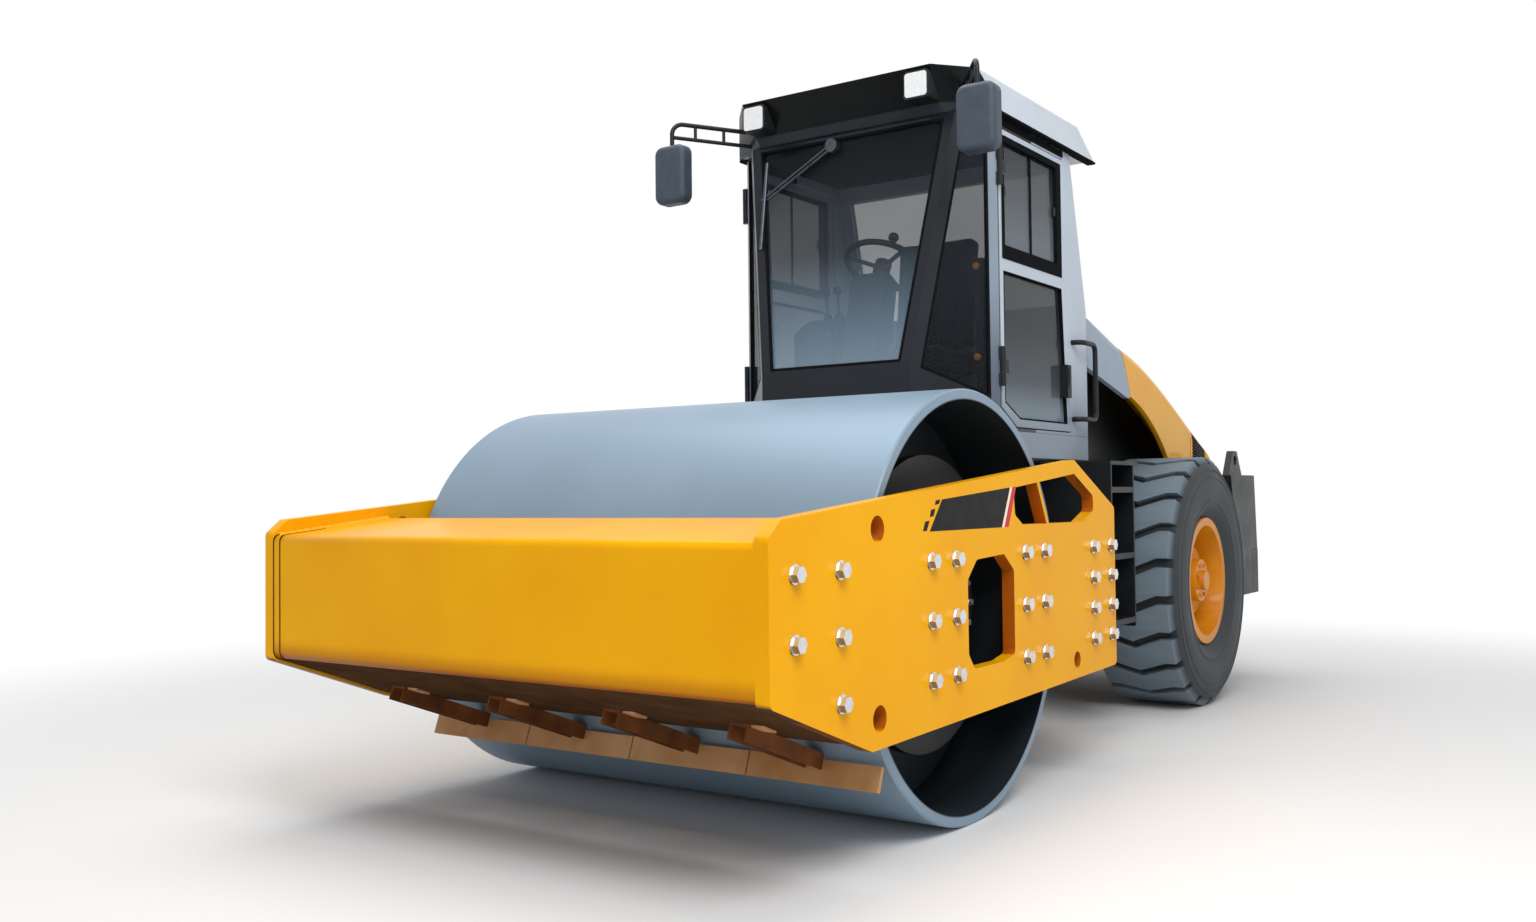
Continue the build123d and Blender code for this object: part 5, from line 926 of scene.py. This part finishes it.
# The roof is a glass-fibre moulding in light grey gel coat with a black fascia round its front. A rubber drip
# edge runs under its lip and a weather strip over each door; white lamps in square black bezels look forwards
# and back.
LAMP_SIDE = 0.447  # m from the centre line
FRONT_LAMP = (0.756, 3.054)  # m ahead, m up
REAR_LAMP = (-0.717, 3.034)
BEZEL = ((0.064, 0.018), (0.0545, 0.012))  # m: half width and corner, outside and inside
DRIP_EDGE = ((-0.690, 0.470), (0.692, 0.737), 2.9385)  # m: ahead, across, up
STRIP = ((-0.322, 0.445), (2.902, CAB_HEAD), 0.7003)  # m: ahead, up, across
# Roof gel coat: a pale cool grey, smooth and glossy over the mould's long waves; the fascia's is a deep black
# that is greyed along its lower band.
roof_gel = finish("pale_grey_roof_gel_coat", ("#B9C4D0", "#C1CCD8"), (0.26, 0.34), 350.0, 60.0, 0.12)
coat(roof_gel, "cab_roof", edge_mm=8.0)
fascia_gel = finish("black_fascia_gel_coat", ("#0C0F11", "#111517"), (0.24, 0.32), 260.0, 60.0, 0.12,
                    gloss=0.15)
shaded_where(fascia_gel, graded(fascia_gel, "Object", "Z", 2.992, 2.986, 0.85), "#333A40")
coat(fascia_gel, "roof_fascia", edge_mm=6.0)
# Frosted lamp glass: white, smooth outside and ribbed within.
lamp_glass = finish("white_lamp_glass", ("#E6EAED", "#F2F4F6"), (0.1, 0.18), 15.0, 6.0, 0.3, Coat_Weight=0.6)
coat(lamp_glass, "head_lamps", edge_mm=2.0)


def rounded_square(half_wide, half_high, corner, steps=5):
    """Points (across, up) round a square with rounded corners."""
    points = []
    for quarter, (side, rise) in enumerate(((1, 1), (-1, 1), (-1, -1), (1, -1))):
        for step in range(steps + 1):
            turn = pi / 2 * (quarter + step / steps)
            points.append((side * (half_wide - corner) + corner * cos(turn),
                           rise * (half_high - corner) + corner * sin(turn)))
    return points


bezels = bmesh.new()
for (place, level), set_back, depth in ((FRONT_LAMP, -0.004, -0.110), (REAR_LAMP, 0.004, 0.050)):
    for side in (-1, 1):
        outer, inner = [[(place + set_back, side * LAMP_SIDE + y, level + z)
                         for y, z in rounded_square(half, half, corner)] for half, corner in BEZEL]
        ring(bezels, outer, inner, (depth, 0, 0))
fitted("lamp_bezels", bezels, black_plastic, "rear_body", edge_mm=1.0)
drip_edge = bmesh.new()
for side in (-1, 1):
    prism(drip_edge, [(x, side * y, DRIP_EDGE[2]) for x, y in rectangle(*DRIP_EDGE[:2])], (0, 0, 0.0115))
    prism(drip_edge, on_side(rectangle(*STRIP[:2]), STRIP[2], side), (0, side * 0.004, 0))
fitted("drip_edge", drip_edge, rubber_seal, "rear_body", edge_mm=2.0)


# The mirrors are blue-grey plastic shells on black tube arms, with silvered glass on their rear faces. The wiper
# is of brushed steel strip; the grab rails are black steel tube.
MIRROR = (0.8748, 0.826, 2.800)  # m: ahead, across, up, the middle of the glass
MIRROR_SIZE = (0.0825, 0.135, 0.030)  # m: half width, half height, corner
coat(black_enamel, "mirror_arms", "grab_handles")
# Moulded plastic: a dull blue-grey with a fine grain.
grey_plastic = finish("blue_grey_moulded_plastic", ("#3F4955", "#47525E"), (0.4, 0.5), 60.0, 1.6, 0.05)
coat(grey_plastic, "mirrors", edge_mm=12.0)
# Brushed steel: a darkened metal with fine marks that break its highlights.
brushed_steel = finish("brushed_stainless_steel", ("#454C53", "#535B62"), (0.26, 0.36), 30.0, 1.5, 0.02,
                       metallic=0.8)
coat(brushed_steel, "wiper")
# Silvered glass: an almost perfect mirror.
mirror_silver = finish("silvered_mirror_glass", ("#C9CED2", "#D0D5D9"), (0.02, 0.05), 200.0, 80.0, 0.01,
                       metallic=1.0)
mirror_glass = bmesh.new()
for side in (-1, 1):
    outline = [(MIRROR[0], side * MIRROR[1] + y, MIRROR[2] + z) for y, z in rounded_square(*MIRROR_SIZE)]
    prism(mirror_glass, outline, (0.0015, 0, 0))
fitted("mirror_glass", mirror_glass, mirror_silver, "rear_body")


# The stage is a pale studio floor that fades into a white background, under two large soft boxes.
# From below the floor is clear, so that the underside can be seen.
FLOOR = (-60.0, 60.0)
FLOOR_FADE = (3.0, 7.5)  # m from the machine's middle, from paint to white
floor_mesh = bpy.data.meshes.new("studio_floor")
floor_mesh.from_pydata([(x, y, 0) for x, y in rectangle(FLOOR, FLOOR)], [], [(0, 1, 2, 3)])
floor = linked("studio_floor", floor_mesh)


def seen_directly(tree):
    """One where a surface is seen by the camera, in a reflection or through glass, and zero where it lights."""
    path = add_node(tree, "ShaderNodeLightPath")
    either = add_node(tree, "ShaderNodeMath", {"operation": "MAXIMUM"}, None,
                      {0: path.outputs["Is Camera Ray"], 1: path.outputs["Is Glossy Ray"]})
    return add_node(tree, "ShaderNodeMath", {"operation": "MAXIMUM"}, None,
                    {0: either.outputs[0], 1: path.outputs["Is Transmission Ray"]}).outputs[0]


# Matt white floor paint that takes the soft shadow and glows into the background further out.
floor_paint = bpy.data.materials.new("studio_floor_paint")
floor_paint.use_nodes = True
tree = floor_paint.node_tree
tree.nodes.clear()
place = add_node(tree, "ShaderNodeTexCoord")
distance = add_node(tree, "ShaderNodeVectorMath", {"operation": "LENGTH"}, None, {0: place.outputs["Object"]})
fade = add_node(tree, "ShaderNodeMapRange", {"interpolation_type": "SMOOTHSTEP"},
                {"From Min": FLOOR_FADE[0], "From Max": FLOOR_FADE[1]}, {"Value": distance.outputs["Value"]})
share = add_node(tree, "ShaderNodeMath", {"operation": "MULTIPLY"}, None,
                 {0: seen_directly(tree), 1: fade.outputs["Result"]})
matt = add_node(tree, "ShaderNodeBsdfDiffuse", inputs={"Color": linear("#F4F4F4")})
glow = add_node(tree, "ShaderNodeEmission", inputs={"Color": (1, 1, 1, 1), "Strength": 1.0})
mixed = add_node(tree, "ShaderNodeMixShader",
                 links={0: share.outputs[0], 1: matt.outputs[0], 2: glow.outputs[0]})
under = add_node(tree, "ShaderNodeNewGeometry")
clear = add_node(tree, "ShaderNodeBsdfTransparent")
whole = add_node(tree, "ShaderNodeMixShader",
                 links={0: under.outputs["Backfacing"], 1: mixed.outputs[0], 2: clear.outputs[0]})
add_node(tree, "ShaderNodeOutputMaterial", links={"Surface": whole.outputs[0]})
floor_mesh.materials.append(floor_paint)

world = bpy.data.worlds.new("studio_world")
bpy.context.scene.world = world
world.use_nodes = True
tree = world.node_tree
tree.nodes.clear()
level = add_node(tree, "ShaderNodeMapRange", None, {"To Min": 0.42, "To Max": 1.0},
                 {"Value": seen_directly(tree)})
sky = add_node(tree, "ShaderNodeBackground", None, {"Color": (1, 1, 1, 1)},
               {"Strength": level.outputs["Result"]})
add_node(tree, "ShaderNodeOutputWorld", links={"Surface": sky.outputs[0]})


def soft_box(name, place, aim, size, watts):
    """A square studio lamp aimed at a point."""
    lamp = bpy.data.lights.new(name, "AREA")
    lamp.shape = "SQUARE"
    lamp.size = size
    lamp.energy = watts
    holder = linked(name, lamp)
    holder.location = place
    holder.rotation_euler = (Vector(aim) - Vector(place)).to_track_quat("-Z", "Y").to_euler()


soft_box("key_box", (5.0, 4.5, 6.5), (0.5, 0.0, 1.0), 4.0, 360.0)
soft_box("top_box", (0.5, -1.0, 8.0), (0.0, 0.0, 1.0), 6.0, 290.0)

# The camera stands at the front left, at about the height of the frame, with a moderate wide lens.
EYE = Vector((5.970, 3.232, 1.204))
YAW, TILT, ROLL = radians(34.71), radians(1.60), radians(-0.63)
SENSOR = 36.0  # mm
FOCAL_SHARE = 1318.6 / 1536  # the focal length as a share of the picture's width
ahead = Vector((-cos(YAW) * cos(TILT), -sin(YAW) * cos(TILT), sin(TILT)))
level_right = ahead.cross(Vector((0, 0, 1))).normalized()
level_up = level_right.cross(ahead)
right = cos(ROLL) * level_right + sin(ROLL) * level_up
up = cos(ROLL) * level_up - sin(ROLL) * level_right
camera_data = bpy.data.cameras.new("photo_camera")
camera_data.sensor_fit = "HORIZONTAL"
camera_data.sensor_width = SENSOR
camera_data.lens = SENSOR * FOCAL_SHARE
camera_data.clip_end = 200.0
camera = linked("photo_camera", camera_data)
camera.matrix_world = Matrix.Translation(EYE) @ Matrix((right, up, -ahead)).transposed().to_4x4()
bpy.context.scene.camera = camera
bpy.context.scene.view_settings.view_transform = "Standard"
